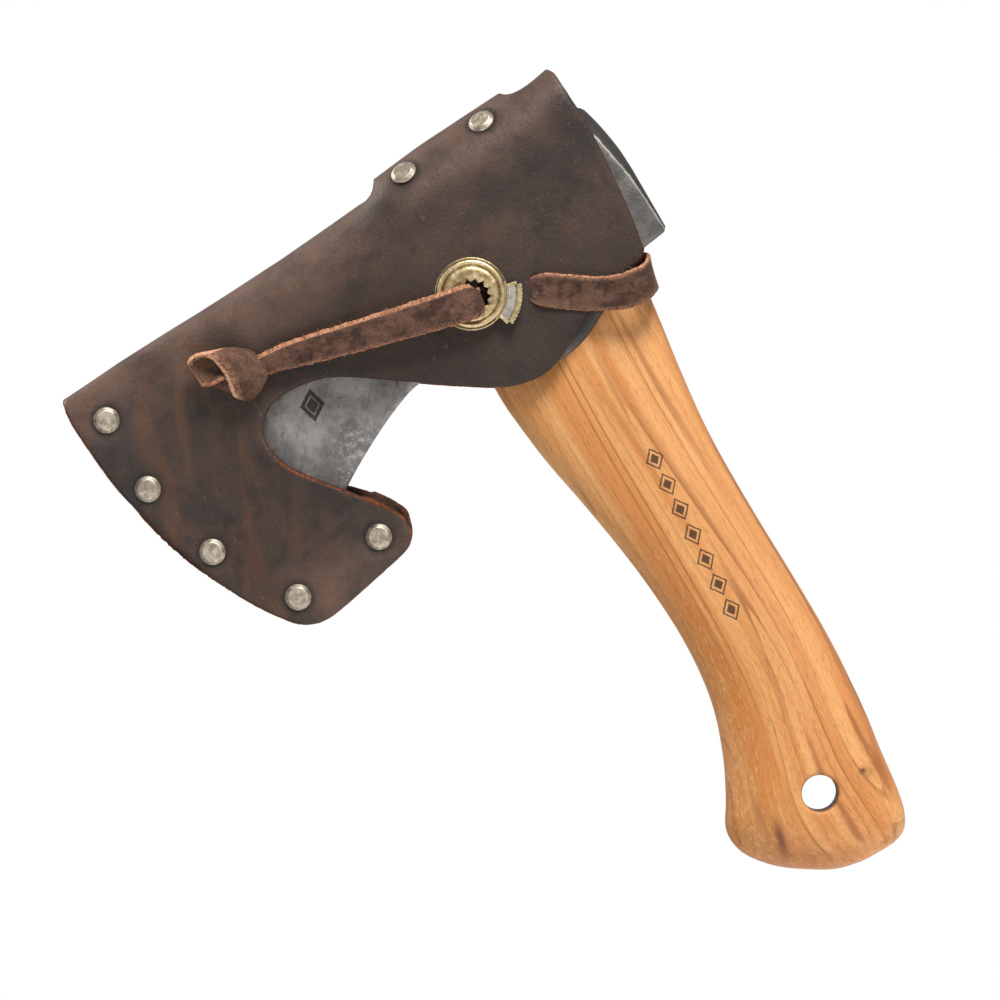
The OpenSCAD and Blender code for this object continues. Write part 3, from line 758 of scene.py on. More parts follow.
def unroll(points):
    """(x, z) on the side view to (x, v) on the unrolled leather."""
    x, z = points[:, 0], points[:, 1]
    start = side_start(x)
    down = arch_length(x) + start - z
    rise = np.clip((z - start) / fold_height(x), 0, 1)
    up = arch_length(x) * np.arccos(rise) / (math.pi / 2)
    return np.stack([x, np.where(z < start, down, up)], axis=1)


REAR_LINE = curve([(35.6, 167), (37.4, 178), (39, 195), (39.6, 208), (39.2, 216)], 4)
FLAP_REAR = curve([
    (37.6, 10.0), (33.5, 11.0), (30, 11.5), (27, 11.3), (24.6, 10.4), (23.0, 8.4), (22.2, 5.8)], 3)
FLAP_FRONT = curve([(-23.8, FLAP_EDGE), (-25.0, 4.1), (-27.0, 3.6), (-29.0, 2.6), (-30.4, 1.1)], 3)
FLAP_LINE = np.concatenate([[(38.6, 13.0)], FLAP_REAR, [(21.9, FLAP_EDGE)], FLAP_FRONT])


def leaf_outline(far_leaf):
    """One leaf's unrolled outline from the toe round the edge to the end of the fold."""
    edge = EDGE_LINE.copy()
    if far_leaf:
        # The far leaf stands a little proud of the near one along the throat of the hook
        x, z = edge.T
        hook = smoothstep(-97, -86, x) * smoothstep(126, 134, z) * smoothstep(164, 142, z) * (x < -60)
        edge += hook[:, None] * np.array([2.3, 1.6])
    down = unroll(np.concatenate([edge, REAR_LINE]))
    down[0, 1] = 0
    return np.concatenate([down, FLAP_LINE])


def rivet_places(node):
    """The points of a CAD node's rivets, rivet by rivet; they stand further apart than their own size."""
    points = np.array([v.co for v in frame["nodes"][node].data.vertices]) / MM
    groups = []
    while len(points):
        same_rivet = np.linalg.norm(points - points[0], axis=1) < 14
        groups.append(points[same_rivet])
        points = points[~same_rivet]
    return groups


def cap_frame(points, axis):
    """Base centre of a cap whose dome points along the axis."""
    top = (points @ axis).max()
    middle = points[np.abs(points @ axis - top) < 0.6].mean(0)
    return middle + axis * (top - 1.5 - middle @ axis)


def roof_axis(side):
    """Axis of the rivets near the top, which lean out by 45 degrees on the given side."""
    c, s = math.cos(ROOF_TILT), math.sin(ROOF_TILT)
    return np.array([-s, side, c]) * math.sqrt(0.5)


FRONT, BACK = np.array([0, -1.0, 0]), np.array([0, 1.0, 0])
edge_caps = [cap_frame(p, FRONT) for p in rivet_places("edge_rivet_caps")]
edge_posts = [cap_frame(p, BACK) for p in rivet_places("edge_rivet_posts")]
bridge_caps = []
for group in rivet_places("bridge_rivet_caps"):
    axis = roof_axis(1 if group[:, 1].mean() > 0 else -1)
    bridge_caps.append((cap_frame(group, axis), axis))


def leather_attributes(points):
    """Masks for the leather's colour, from where each point is."""
    x, z = points[:, 0], points[:, 2]
    crest = fold_top(x)
    # Pull-up of the bent leather and a painted highlight: along the crest, over the hook and on the flap tops
    pull_and_highlight = smoothstep(26, 6, crest - z) * smoothstep(-20, -42, x) * 0.9
    pull_and_highlight = np.maximum(pull_and_highlight, smoothstep(5, 0.5, crest - z) * 0.7)
    pull_and_highlight = np.maximum(pull_and_highlight, 0.75 * smoothstep(140, 126, z) * smoothstep(-112, -98, x))
    pull_and_highlight = np.maximum(pull_and_highlight, 0.85 * smoothstep(207, 219, z) * smoothstep(-30, -14, x) * smoothstep(42, 24, x))
    bit = smoothstep(-78, -100, x) * smoothstep(214, 206, z) * smoothstep(126, 142, z)
    bit = np.maximum(bit, 0.6 * smoothstep(-84, -92, x) * smoothstep(214, 206, z))
    # Painted shadow: a dark ring round each rivet cap
    pressed = np.zeros(len(points))
    for centre in edge_caps:
        r = np.hypot(x - centre[0], z - centre[2])
        pressed = np.maximum(pressed, smoothstep(5.6, 4.2, r))
    for centre, _ in bridge_caps:
        r = np.linalg.norm(points - centre, axis=1)
        pressed = np.maximum(pressed, smoothstep(6.0, 4.4, r))
    # Painted shade, darker towards the bottom of the leaf's rear part
    shade_below = smoothstep(192, 160, z) * smoothstep(-66, -44, x)
    return {"shade_below": shade_below, "pull_and_highlight": np.clip(pull_and_highlight, 0, 1), "bit": np.clip(bit, 0, 1), "pressed": pressed}


def sheath_relief(points):
    """How far the leather's outside stands from its plain surface."""
    relief = 0.22 * field(points, 26, 3, 2)
    for centre in edge_caps:
        r = np.hypot(points[:, 0] - centre[0], points[:, 2] - centre[2])
        relief = relief * smoothstep(4, 9, r) - 0.45 * smoothstep(8.5, 3.6, r)
    for centre, _ in bridge_caps:
        r = np.linalg.norm(points - centre, axis=1)
        relief = relief * smoothstep(4, 9, r) - 0.3 * smoothstep(7.5, 3.8, r)
    lock = np.hypot(points[:, 0] - LOCK_CENTRE[0], points[:, 2] - LOCK_CENTRE[2])
    on_front = points[:, 1] < 0
    return np.where(on_front, relief * smoothstep(10, 15, lock), relief)


def rubbed_edge(p):
    """Where the leather's rim is rubbed to its raw colour: the top of the toe and the opening's lower lip."""
    toe = (p[:, 0] < -120) & (p[:, 2] > 183)
    lower_lip = (np.abs(p[:, 0] + 79) < 17) & (np.abs(p[:, 2] - 147) < 20)
    return toe | lower_lip


def make_cover():
    """The sheath itself: two leaves and the fold between them, with a slit and the lock's hole."""
    near = leaf_outline(False)
    far = leaf_outline(True)[::-1] * np.array([1, -1])
    slit = np.array([(2.4, 176.8), (3.9, 175.9), (1.2, 168.6), (-0.4, 169.5)])
    loops = [
        split_long(np.concatenate([near, far[:-1]]), 1.1),
        split_long(unroll(slit), 1.0),
        unroll(arc((LOCK_CENTRE[0], LOCK_CENTRE[2]), 4.9, 0, 350, 36)),
    ]
    sheet = Sheet(loops, 1.3, [0.4, 0.95])
    relief = sheath_relief(sheath_surface(sheet.points))
    points, faces, slots = thick_sheet(sheet, sheath_surface, LEATHER_T, flip=True, relief=relief,
                                       fuzz=0.07, raw_where=rubbed_edge)
    piece = make_mesh("leather_cover", points, faces, LEATHERS, "sheath", "sheath_leather", slots,
                      leather_attributes(points))
    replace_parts(piece, "sheath_cover")


def make_welt():
    """The strip between the two leaves that the rivets go through."""
    centre = (-31, 193)
    outline = np.concatenate([
        arc(centre, 91.6, 173, 217, 40), [(-99, 136), (-82, 136), (-72, 134.6), (-68.4, 131)],
        [(-70.5, 127), (-78.5, 124.4), (-95, 120.8), (-101.5, 120.1)],
        arc(centre, 105.4, 223.5, 172, 50)])
    sheet = Sheet([split_long(outline, 1.2)], 3.0, [0.3])
    clear = 0.03        # between the welt and each leaf

    def flat(q):
        return np.stack([q[:, 0], np.full(len(q), clear - GAP_EDGE), q[:, 1]], axis=1)

    thickness = 2 * (GAP_EDGE - clear)
    points, faces, slots = thick_sheet(sheet, flat, thickness, corner=0.25, fuzz=0.25)
    rough_leathers = [LEATHER_BACK, LEATHER_CUT, LEATHER_BACK]
    piece = make_mesh("leather_welt", points, faces, rough_leathers, "sheath", "sheath_leather", slots)
    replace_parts(piece, "edge_welt")


def make_strap():
    """The strap over the top of the head, riveted under both flaps."""
    radius = FLAP_R - LEATHER_T - 0.12
    flat_half = FLAP_CENTRE[0]
    half = flat_half + radius * math.radians(52)

    def over(q):
        x, u = q[:, 0], q[:, 1]
        s = np.abs(u)
        turn = np.clip((s - flat_half) / radius, 0, None)
        y = np.where(s < flat_half, s, flat_half + radius * np.sin(turn))
        z = FLAP_CENTRE[1] + np.where(s < flat_half, radius, radius * np.cos(turn))
        return np.stack([x, -np.sign(u) * y, tilted_z(x, z)], axis=1)

    outline = np.array([
        (-23.2, -half), (20.6, -half), (21.2, -half + 2), (21.2, half - 2), (20.6, half), (-23.2, half)])
    sheet = Sheet([split_long(outline, 1.0)], 1.6, [0.3, 0.75])
    relief = 0.15 * field(over(sheet.points), 12, 5, 2) - 0.1
    points, faces, slots = thick_sheet(sheet, over, 2.3, flip=True, relief=relief)
    attributes = leather_attributes(points)
    # The strap is paler all over: pull-up where it is bent and a painted highlight on its top
    attributes["pull_and_highlight"] = np.full(len(points), 0.35)
    piece = make_mesh("leather_strap", points, faces, LEATHERS, "sheath", "sheath_leather", slots, attributes)
    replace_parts(piece, "top_bridge")


make_cover()
make_welt()
make_strap()


# ---- rivets ---------------------------------------------------------------------------------

def basis(axis, hint=(0, 0, 1)):
    """Two unit vectors across an axis, and the axis."""
    axis = unit(np.asarray(axis, float))
    side = np.cross(hint, axis)
    if np.linalg.norm(side) < 1e-6:
        side = np.cross((1, 0, 0), axis)
    side = unit(side)
    return side, np.cross(axis, side), axis


def lathe(profile, centre, axis, count=72, oval=0.0):
    """Points and faces of a closed turned shape. The profile is (radius, height) from axis to axis."""
    side, up, axis = basis(axis)
    angles = np.linspace(0, 2 * math.pi, count, endpoint=False)
    around = np.cos(angles)[:, None] * side + np.sin(angles)[:, None] * up
    points, rings = [], []
    for r, h in profile:
        if r < 1e-6:
            rings.append([len(points)] * count)
            points.append(centre + axis * h)
        else:
            rings.append(list(range(len(points), len(points) + count)))
            grow = 1 + oval * np.sin(2 * angles + r)[:, None]
            points += list(centre + around * r * grow + axis * h)
    faces = [list(dict.fromkeys(quad)) for quad in ring_quads(rings)]
    return np.array(points), faces


def joined(parts):
    """Several (points, faces) as one."""
    points, faces, start = [], [], 0
    for p, f in parts:
        points.append(p)
        faces += [[i + start for i in face] for face in f]
        start += len(p)
    return np.concatenate(points), faces


CAP_PROFILE = [
    (0, 1.2), (1.5, 1.2), (2.7, 1.19), (2.9, 1.16), (3.02, 1.08), (3.1, 1.0), (3.4, 0.72), (3.7, 0.44),
    (3.9, 0.26), (4.0, 0.1), (3.98, -0.1), (3.8, -0.3), (1.5, -0.3), (1.5, -1.2), (0, -1.2)]
POST_PROFILE = [
    (0, 1.25), (1.2, 1.22), (2.4, 1.08), (3.2, 0.8), (3.7, 0.42), (3.95, 0.1), (3.9, -0.1), (3.7, -0.25),
    (1.5, -0.25), (1.5, -1.2), (0, -1.2)]


def make_rivets(name, profile, places, sink, *nodes):
    """Caps pressed a little into the leather and each tipped by a degree or two."""
    parts = []
    for centre, axis in places:
        tip = unit(axis + 0.028 * rng.uniform(-1, 1, 3))
        parts.append(lathe(profile, centre - axis * sink, tip, oval=0.008))
    piece = make_mesh(name, *joined(parts), [NICKEL], "sheath", "rivet_nickel")
    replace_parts(piece, *nodes)


make_rivets("edge_rivets_front", CAP_PROFILE, [(c, FRONT) for c in edge_caps], 0.32, "edge_rivet_caps")
make_rivets("edge_rivets_back", POST_PROFILE, [(c, BACK) for c in edge_posts], 0.32, "edge_rivet_posts")
make_rivets("bridge_rivets", CAP_PROFILE, bridge_caps, 0.4, "bridge_rivet_caps")


# ---- head -----------------------------------------------------------------------------------

EDGE_CENTRE = np.array([-31.0, 193.0])
EDGE_R = 90.0
HEAD_OUTLINE_LOW = curve([
    (-97, 138.5), (-87, 142.5), (-76, 150.5), (-63, 158), (-52, 163.2), (-43, 166), (-34, 165), (-25, 160),
    (-15, 153.2), (-5, 150.6), (5, 151.7), (14.3, 156), (24, 162), (34, 167), (42.6, 168.6)], 5)
HEAD_OUTLINE_TOP = curve([
    (44.8, 190), (44.3, 198), (42.2, 209), (39.5, 214), (30, 215.6), (5, 215.6), (-30, 215.2), (-75, 212.8),
    (-119.6, 209.4)], 6)
HEAD_HALF = np.array([
    (44.8, 10.9), (36, 11.6), (24, 12.3), (5, 12.5), (-12, 11.9), (-22, 9.6), (-32, 6.6), (-46, 4.9),
    (-70, 3.7), (-95, 3.0), (-125, 2.6)])
POLL_CREASE = np.array([(44.3, 169.0), (43.2, 187.1), (40.3, 202.5), (36.8, 212.5)])


def head_half_thickness(x, z, edge):
    """Half thickness at a point, with the outline's own edge rounded by forging."""
    smooth_half = curve(HEAD_HALF, 8)[::-1]
    body = np.interp(x, smooth_half[:, 0], smooth_half[:, 1])
    from_edge = EDGE_R - np.hypot(x - EDGE_CENTRE[0], z - EDGE_CENTRE[1])
    bevel = np.where(x < -45, 0.12 + np.maximum(from_edge, 0) * math.tan(math.radians(10)), 99)
    half = soft_min(body, bevel, 0.5)
    half = half - 1.1 * soft_ramp(x - np.interp(z, POLL_CREASE[:, 1], POLL_CREASE[:, 0]), 0.12)
    rounding = 0.9 + 1.3 * smoothstep(-60, -10, x) - 0.7 * smoothstep(36, 43, x)
    rounding = np.minimum(rounding, half * 0.8)
    inset = np.clip(edge, 0, rounding)
    cut = rounding - np.sqrt(np.maximum(rounding**2 - (rounding - inset)**2, 0))
    is_bevel = smoothstep(3.0, 1.0, from_edge) * (x < -45)
    return np.maximum(half - cut * (1 - is_bevel), 0.1)


def make_head():
    """The whole head: two faces shaped by the half thickness, a wall between them, and the eye cut out."""
    ends = np.array([(-119.6, 209.4), (-102.6, 138.5)]) - EDGE_CENTRE
    first, last = np.degrees(np.arctan2(ends[:, 1], ends[:, 0])) + (0, 360)
    outline = np.concatenate([arc(EDGE_CENTRE, EDGE_R, first, last, 60), [(-100, 138.5)], HEAD_OUTLINE_LOW,
                              [(43.9, 168.8), (44.8, 169.9)], HEAD_OUTLINE_TOP[:-1]])
    sheet = Sheet([split_long(outline, 1.2)], 1.5, [0.25, 0.6, 1.1, 1.8])
    x, z = sheet.points.T
    half = head_half_thickness(x, z, sheet.edge)
    plane = np.stack([x, half, z], axis=1)
    half = half + 0.16 * field(plane, 15, 11, 2) * smoothstep(0, 4, sheet.edge) * smoothstep(0.5, 2.5, half)
    front, back = np.stack([x, -half, z], axis=1), np.stack([x, half, z], axis=1)
    count = len(x)
    faces = [*sheet.triangles, *(sheet.triangles[:, ::-1] + count)]
    points = [front, back]
    ids = sheet.loops[0]
    rings = [ids]
    for share in (0.25, 0.5, 0.75):
        rings.append(np.arange(len(ids)) + count * 2 + len(ids) * (len(rings) - 1))
        points.append(front[ids] * (1 - share) + back[ids] * share)
    faces += ring_quads(rings + [ids + count])
    points = np.concatenate(points)
    x, y, z = points.T
    scuff = 0.5 * smoothstep(12, 4, np.hypot(x + 68, (z - 156) * 0.8))
    from_edge = EDGE_R - np.hypot(x - EDGE_CENTRE[0], z - EDGE_CENTRE[1])
    masks = {
        "beyond": x - np.interp(z, POLL_CREASE[:, 1], POLL_CREASE[:, 0]),
        "scuff": np.maximum(scuff, 0.25 * smoothstep(2.5, 0.5, from_edge)),
        "flat": y < -1,
        # Painted shade on the cheek near the handle
        "lip": smoothstep(22, 8, np.hypot((x - 16) * 0.75, z - 156)),
    }
    piece = make_mesh("forged_head", points, faces, [STEEL], "tool", "forged_steel", attributes=masks)
    low, high = box_mm("eye_wedge")
    cut_with(piece, *eye_prism(8.5, low[0] - 1.2, high[0] + 1.2, 100, 260))
    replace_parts(piece, "axe_head")


def eye_prism(r, x0, x1, z0, z1, rows=2):
    """A prism with round ends standing along Z."""
    outline = np.concatenate([arc((x1 - r, 0), r, -90, 90, 24), arc((x0 + r, 0), r, 90, 270, 24)])
    n = len(outline)
    points = np.concatenate([np.column_stack([outline, np.full(n, z)]) for z in np.linspace(z0, z1, rows)])
    return points, tube_faces(rows, n)


def cut_with(piece, points, faces, smooth=True):
    """Takes the volume inside the faces out of the piece."""
    cutter = make_mesh("cutter", points, faces, list(piece.data.materials), smooth=smooth)
    modifier = piece.modifiers.new("cut", "BOOLEAN")
    modifier.operation = "DIFFERENCE"
    modifier.solver = "EXACT"
    modifier.object = cutter
    apply_modifiers(piece)
    bpy.data.objects.remove(cutter)


def apply_modifiers(piece):
    """Makes the modifiers' result the piece's own mesh."""
    depsgraph = bpy.context.evaluated_depsgraph_get()
    made = bpy.data.meshes.new_from_object(piece.evaluated_get(depsgraph))
    piece.modifiers.clear()
    old = piece.data
    piece.data = made
    bpy.data.meshes.remove(old)


make_head()


# ---- handle ---------------------------------------------------------------------------------

def handle_rings():
    """(height, front, rear, half thickness) of each ring of the CAD handle below the head."""
    mesh = frame["nodes"]["handle"].data
    points = np.array([v.co for v in mesh.vertices]) / MM
    levels = {}
    for p in points:
        if p[2] < 149:
            levels.setdefault(round(float(p[2]), 2), []).append(p)
    rings = []
    for z in sorted(levels):
        ring = np.array(levels[z])
        if len(np.unique(ring.round(2), axis=0)) >= 30:
            rings.append((z, ring[:, 0].min(), ring[:, 0].max(), np.abs(ring[:, 1]).max()))
    return rings


def make_handle():
    """The handle, lofted through the CAD's rings, bored for hanging, and softened at its rims."""
    rings = curve(handle_rings() + [(158.0, -23.4, 30.9, 10.8), (168.5, -21.0, 31.0, 9.6)], 3)
    count = 120
    a = np.linspace(0, 2 * math.pi, count, endpoint=False)
    flatter = 2 / 2.5       # power of the superellipse
    cos, sin = (np.sign(f(a)) * np.abs(f(a))**flatter for f in (np.cos, np.sin))
    points = np.concatenate([
        np.column_stack([(front + rear) / 2 + (rear - front) / 2 * cos, thick * sin, np.full(count, z)])
        for z, front, rear, thick in rings])
    piece = make_mesh("hickory_handle", points, tube_faces(len(rings), count), [HICKORY])
    cut_with(piece, *lathe([(0, -30), (5.5, -30), (5.5, 30), (0, 30)], np.zeros(3), (0, 1, 0), 96))
    remesh = piece.modifiers.new("even", "REMESH")
    remesh.mode = "VOXEL"
    remesh.voxel_size = 0.75 * MM
    smooth = piece.modifiers.new("soften", "SMOOTH")
    smooth.factor = 0.5
    smooth.iterations = 9
    apply_modifiers(piece)
    mesh = piece.data
    mesh.polygons.foreach_set("use_smooth", [True] * len(mesh.polygons))
    points = np.array([v.co for v in mesh.vertices]) / MM
    add_attributes(mesh, handle_attributes(points, rings))
    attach(piece, "tool")
    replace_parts(piece, "handle")


def handle_attributes(points, rings):
    """The wood's own coordinates, and masks for its colour."""
    x, y, z = points.T
    front_x, rear_x = (np.interp(z, rings[:, 0], rings[:, k]) for k in (1, 2))
    centre = 0.45 * front_x + 0.55 * rear_x
    fan = 1 - 0.22 * smoothstep(25, -15, z)
    across = (x - centre) * fan + 0.55 * centre - 3 * smoothstep(-30, 60, z)
    share = (x - front_x) / np.maximum(rear_x - front_x, 1)

    def spot(cx, cz, rx, rz, tilt):
        dx, dz = x - cx, z - cz
        c, s = math.cos(tilt), math.sin(tilt)
        return np.exp(-(((c * dx + s * dz) / rx)**2 + ((-s * dx + c * dz) / rz)**2)) * (y < 0)

    stain = (0.85 * spot(-17, -6, 1.4, 5.5, -0.25) + 0.4 * spot(-19, 3, 0.9, 7, -0.2)
             + 0.95 * spot(14.5, -0.5, 1.0, 0.9, 0) + 0.3 * spot(16, -2, 3.0, 1.8, 0.4))
    return {
        "grain": np.column_stack([across, y, z]),
        # front: the handle's front edge, where painted shade lies
        "front": smoothstep(0.42, 0.08, share) * smoothstep(150, 30, z),
        "stain": np.clip(stain, 0, 1),
        # Painted shade on the wall of the hanging hole
        "bore": 0.55 * smoothstep(5.9, 5.5, np.hypot(x, z)) * (np.abs(y) < 12.8),
        "flat": y < 0,
    }


def make_tenon():
    """The handle's end inside the eye, cut across and split by the wedge."""
    low, high = box_mm("eye_wedge")
    top = box_mm("handle")[1][2]
    points, faces = eye_prism(8.4, low[0] - 1.1, high[0] + 1.1, 160, top, 24)
    points[:, 2] += np.where(points[:, 2] > top - 0.5, 0.12 * field(points, 3, 21, 2), 0)
    piece = make_mesh("handle_tenon", points, faces, [END_GRAIN], smooth=False)
    wedge = [(-high[1], top + 2), (0, low[2]), (high[1], top + 2)]
    prism = [(x, y, z) for x in (low[0] - 3, high[0] + 3) for y, z in wedge]
    cut_with(piece, prism, tube_faces(2, 3), smooth=False)
    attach(piece, "tool")


make_handle()
make_tenon()


def dress(node, material):
    """A CAD node that stays gets its material."""
    piece = frame["nodes"][node]
    for place in piece.material_slots:
        place.material = material
    if not piece.material_slots:
        piece.data.materials.append(material)


dress("eye_wedge", WEDGE_WOOD)
dress("wedge_ring", STEEL)
dress("bridge_rivet_posts", NICKEL)
dress("anchor_rivet_post", NICKEL)


# ---- lace -----------------------------------------------------------------------------------

def ribbon(path, width_hints, widths, top_cut=0.55, seed=1, bow=0.0):
    """Points, faces, slots, lay and rim of a strip of lace.

    path is its centre line, width_hints point to its upper edge, and top_cut is how far the upper edge's
    cut face leans towards the strip's outer side. bow crowns the outer face.
    """
    fine = curve(np.column_stack([path, width_hints, np.asarray(widths)[:, None]]), 10)
    along = np.concatenate([[0], np.cumsum(np.linalg.norm(np.diff(fine[:, :3], axis=0), axis=1))])
    step = 0.9
    at = np.linspace(0, along[-1], int(along[-1] / step) + 1)
    fine = np.stack([np.interp(at, along, fine[:, k]) for k in range(7)], axis=1)
    centre, hint, width = fine[:, :3], fine[:, 3:6], fine[:, 6]
    tangent = unit(np.gradient(centre, axis=0))
    up = unit(hint - tangent * (hint * tangent).sum(1, keepdims=True))
    out = np.cross(up, tangent)
    h = LACE_T / 2
    rough, sway = 0.09, 0.16
    face = np.linspace(-1, 1, 9)
    # (across from -1 to 1, across offset in mm, height, slot)
    section = [(s, -0.35 * s - (top_cut if s == 1 else 0), h, 0) for s in face]
    section += [(1, 0.0, h * 0.35 - 0.2 * top_cut, 1), (1, 0.0, -h * 0.45, 1)]
    section += [(-s, 0.35 * s, -h, 0) for s in face]
    section += [(-1, 0.0, -h * 0.4, 1), (-1, 0.0, h * 0.4, 1)]
    points, lay, rim = [], [], []
    edge_noise = {1: rough * rng.normal(0, 1, len(at)), -1: rough * rng.normal(0, 1, len(at))}
    wave = sway * field([(s, seed * 31.0, 0) for s in at], 6, seed, 3)
    for i in range(len(at)):
        for s, shift, height, slot in section:
            across = s * width[i] / 2 + shift
            if abs(s) == 1:
                across += edge_noise[s][i] * (1 if slot else 0.4) + s * wave[i]
            points.append(centre[i] + up[i] * across + out[i] * (height + bow * (1 - s * s)))
            lay.append((at[i] + seed * 40, s * width[i] / 2, height))
            rim.append(1.0 if slot else 0.8 * smoothstep(0.72, 1.0, abs(s)))
    faces, slots = loft_faces(len(at), [slot for *_, slot in section])
    return np.array(points), faces, slots, np.array(lay), np.array(rim)


def loft_faces(rows, section_slots):
    """Faces and slots of a closed section carried along rows of points, with both ends cut."""
    slots = [int(a or b) for a, b in zip(section_slots, np.roll(section_slots, -1))]
    return tube_faces(rows, len(section_slots)), slots * (rows - 1) + [1, 1]


def fibres(edge_points, directions, count, seed):
    """Short frayed fibres standing off the strip's edges, as thin pointed prisms."""
    pick = np.random.default_rng(seed)
    parts = []
    for _ in range(count):
        i = pick.integers(0, len(edge_points))
        base = edge_points[i]
        side, up, lean = basis(unit(directions[i] + 0.9 * pick.normal(0, 1, 3)), (0.3, 0.9, 0.1))
        size = pick.uniform(0.5, 1.5)
        thick = pick.uniform(0.05, 0.1)
        bend = 0.3 * size * pick.normal(0, 1, 3)
        ring = [side * thick, (-side * 0.5 + up * 0.87) * thick, (-side * 0.5 - up * 0.87) * thick]
        points = [base - lean * 0.3 + r for r in ring]
        points += [base + lean * size * 0.55 + bend * 0.5 + r * 0.7 for r in ring]
        points.append(base + lean * size + bend)
        faces = [[2, 1, 0], [0, 1, 4, 3], [1, 2, 5, 4], [2, 0, 3, 5], [3, 4, 6], [4, 5, 6], [5, 3, 6]]
        parts.append((np.array(points), faces))
    return joined(parts)


def lace_piece(name, strips, body, fray=0, seed=3, fray_from=0.0):
    """One piece from several strips, with frayed fibres along their edges past fray_from."""
    points, faces = joined([strip[:2] for strip in strips])
    slots = sum((strip[2] for strip in strips), [])
    lay = np.concatenate([strip[3] for strip in strips])
    rim = np.concatenate([strip[4] for strip in strips])
    if fray:
        edge = (rim >= 0.99) & (lay[:, 0] > lay[0, 0] + fray_from)
        directions = np.sign(lay[edge][:, 1:2]) * np.array([[0.25, -0.35, 0.95]])
        frayed = fibres(points[edge], directions, fray, seed)
        points, faces = joined([(points, faces), frayed])
        slots += [1] * len(frayed[1])
        lay = np.concatenate([lay, frayed[0]])
        rim = np.concatenate([rim, np.ones(len(frayed[0]))])
    fields = {"lay": lay, "rim": rim}
    return make_mesh(name, points, faces, LACE_LEATHERS, body, "lace_leather", slots, fields)


LOCK_H = 4.9            # height of the lock's case off the leather
under_lock = LOCK_CENTRE.copy()
under_lock[1] = -(GAP_REAR + LEATHER_T)
tail_dir = np.array([-0.97358, 0, 0.22835])
tail_up = np.array([0.22835, 0, 0.97358])


def tail_point(a, out, drop):
    """A point by distance along the tail, height off the leather, and drop below the tail's line."""
    return under_lock + tail_dir * a + FRONT * out - tail_up * drop


slope_start = tail_point(12.1, LOCK_H + 0.15 + LACE_T / 2, 0)


def slope_point(a, drop, out=0.0):
    """A point by distance along the tail's slope towards the knot."""
    return slope_start + LACE_AXIS * a + FRONT * out - tail_up * drop


tail_path = [
    tail_point(0.2, 0.8, 0.1), tail_point(0.1, 2.6, 0.1), tail_point(-0.2, 4.4, 0.3),
    tail_point(-1.6, 5.7, 1.8), tail_point(-0.6, 6.7, 2.2), tail_point(2.4, 7.05, 2.3),
    tail_point(6.5, 6.85, 2.35), slope_point(0, 2.35, 0.35), slope_point(14, 2.3), slope_point(28, 2.1),
    slope_point(40, 1.8), slope_point(48, 1.7), slope_point(53, 2.0), slope_point(57, 2.6)]
tail_widths = [2.8, 3.0, 3.5, 7.4, 10.0, 10.9, 10.9, 10.5, 10.0, 9.4, 8.6, 7.8, 6.9, 6.4]
tail_hints = [tail_up] * 5 + [tail_up + FRONT * 0.12] * 6 + [tail_up + FRONT * 0.25] * 3
tail_strip = ribbon(tail_path, tail_hints, tail_widths, seed=1, bow=0.25, top_cut=0.7)
tail = lace_piece("lace_tail_strip", [tail_strip], "sheath", 70, 5, fray_from=24)
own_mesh(tail)
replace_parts(tail, "lace_tail")


# Outside points of the knot's three folds, as (x, off the leather, z) from the middle of the CAD knot.
# Each band row runs from its raw left edge to its right side, from behind the top to behind the bottom.
KNOT_BAND = [
    [(1.5, 1.5, 5.5), (6.0, 1.5, 3.8), (9.5, 1.5, 1.2)],
    [(-1.0, 4.6, 7.6), (4.8, 5.2, 5.4), (9.7, 4.2, 1.3)],
    [(-0.9, 8.3, 5.9), (5.0, 9.3, 2.1), (10.2, 6.8, -2.5)],
    [(0.3, 9.3, -0.5), (5.2, 9.8, -3.7), (10.0, 6.6, -6.8)],
    [(-0.2, 8.2, -6.8), (3.0, 8.0, -8.4), (6.8, 5.2, -9.8)],
    [(-0.4, 5.4, -10.2), (1.0, 4.4, -10.8), (3.2, 3.0, -10.9)],
    [(1.5, 1.8, -9.0), (3.0, 1.6, -9.2), (4.8, 1.6, -9.2)]]
# The cut end is a gutter, from inside the band out to the left; its rows run from upper lip to lower lip
KNOT_TIP = [
    [(3.0, 4.6, 4.6), (3.0, 3.6, 4.0), (3.0, 3.0, 1.5), (3.0, 4.2, -1.8), (3.0, 6.2, -2.4)],
    [(-2.0, 6.6, 6.3), (-2.0, 5.0, 5.7), (-2.2, 3.2, 3.0), (-2.0, 4.6, 0.5), (-2.0, 7.0, -0.2)],
    [(-6.5, 7.0, 7.7), (-6.3, 5.0, 7.0), (-6.2, 3.4, 4.0), (-6.0, 4.6, 0.9), (-6.0, 6.6, 0.0)],
    [(-9.3, 6.0, 6.7), (-9.2, 4.8, 6.0), (-9.0, 4.0, 4.1), (-8.8, 4.8, 2.0), (-8.6, 6.0, 1.3)]]
# The fold under the tip, down to the band's point
KNOT_UNDER = [
    [(-7.0, 2.2, 0.4), (-3.5, 5.2, 0.3), (1.5, 6.6, 0.2)],
    [(-6.2, 1.8, -2.4), (-3.0, 4.6, -2.6), (1.5, 6.2, -3.0)],
    [(-3.6, 1.4, -5.6), (-1.4, 3.6, -5.9), (1.5, 5.2, -6.6)],
    [(-0.9, 1.2, -7.8), (0.2, 2.4, -8.2), (1.8, 3.5, -8.8)]]


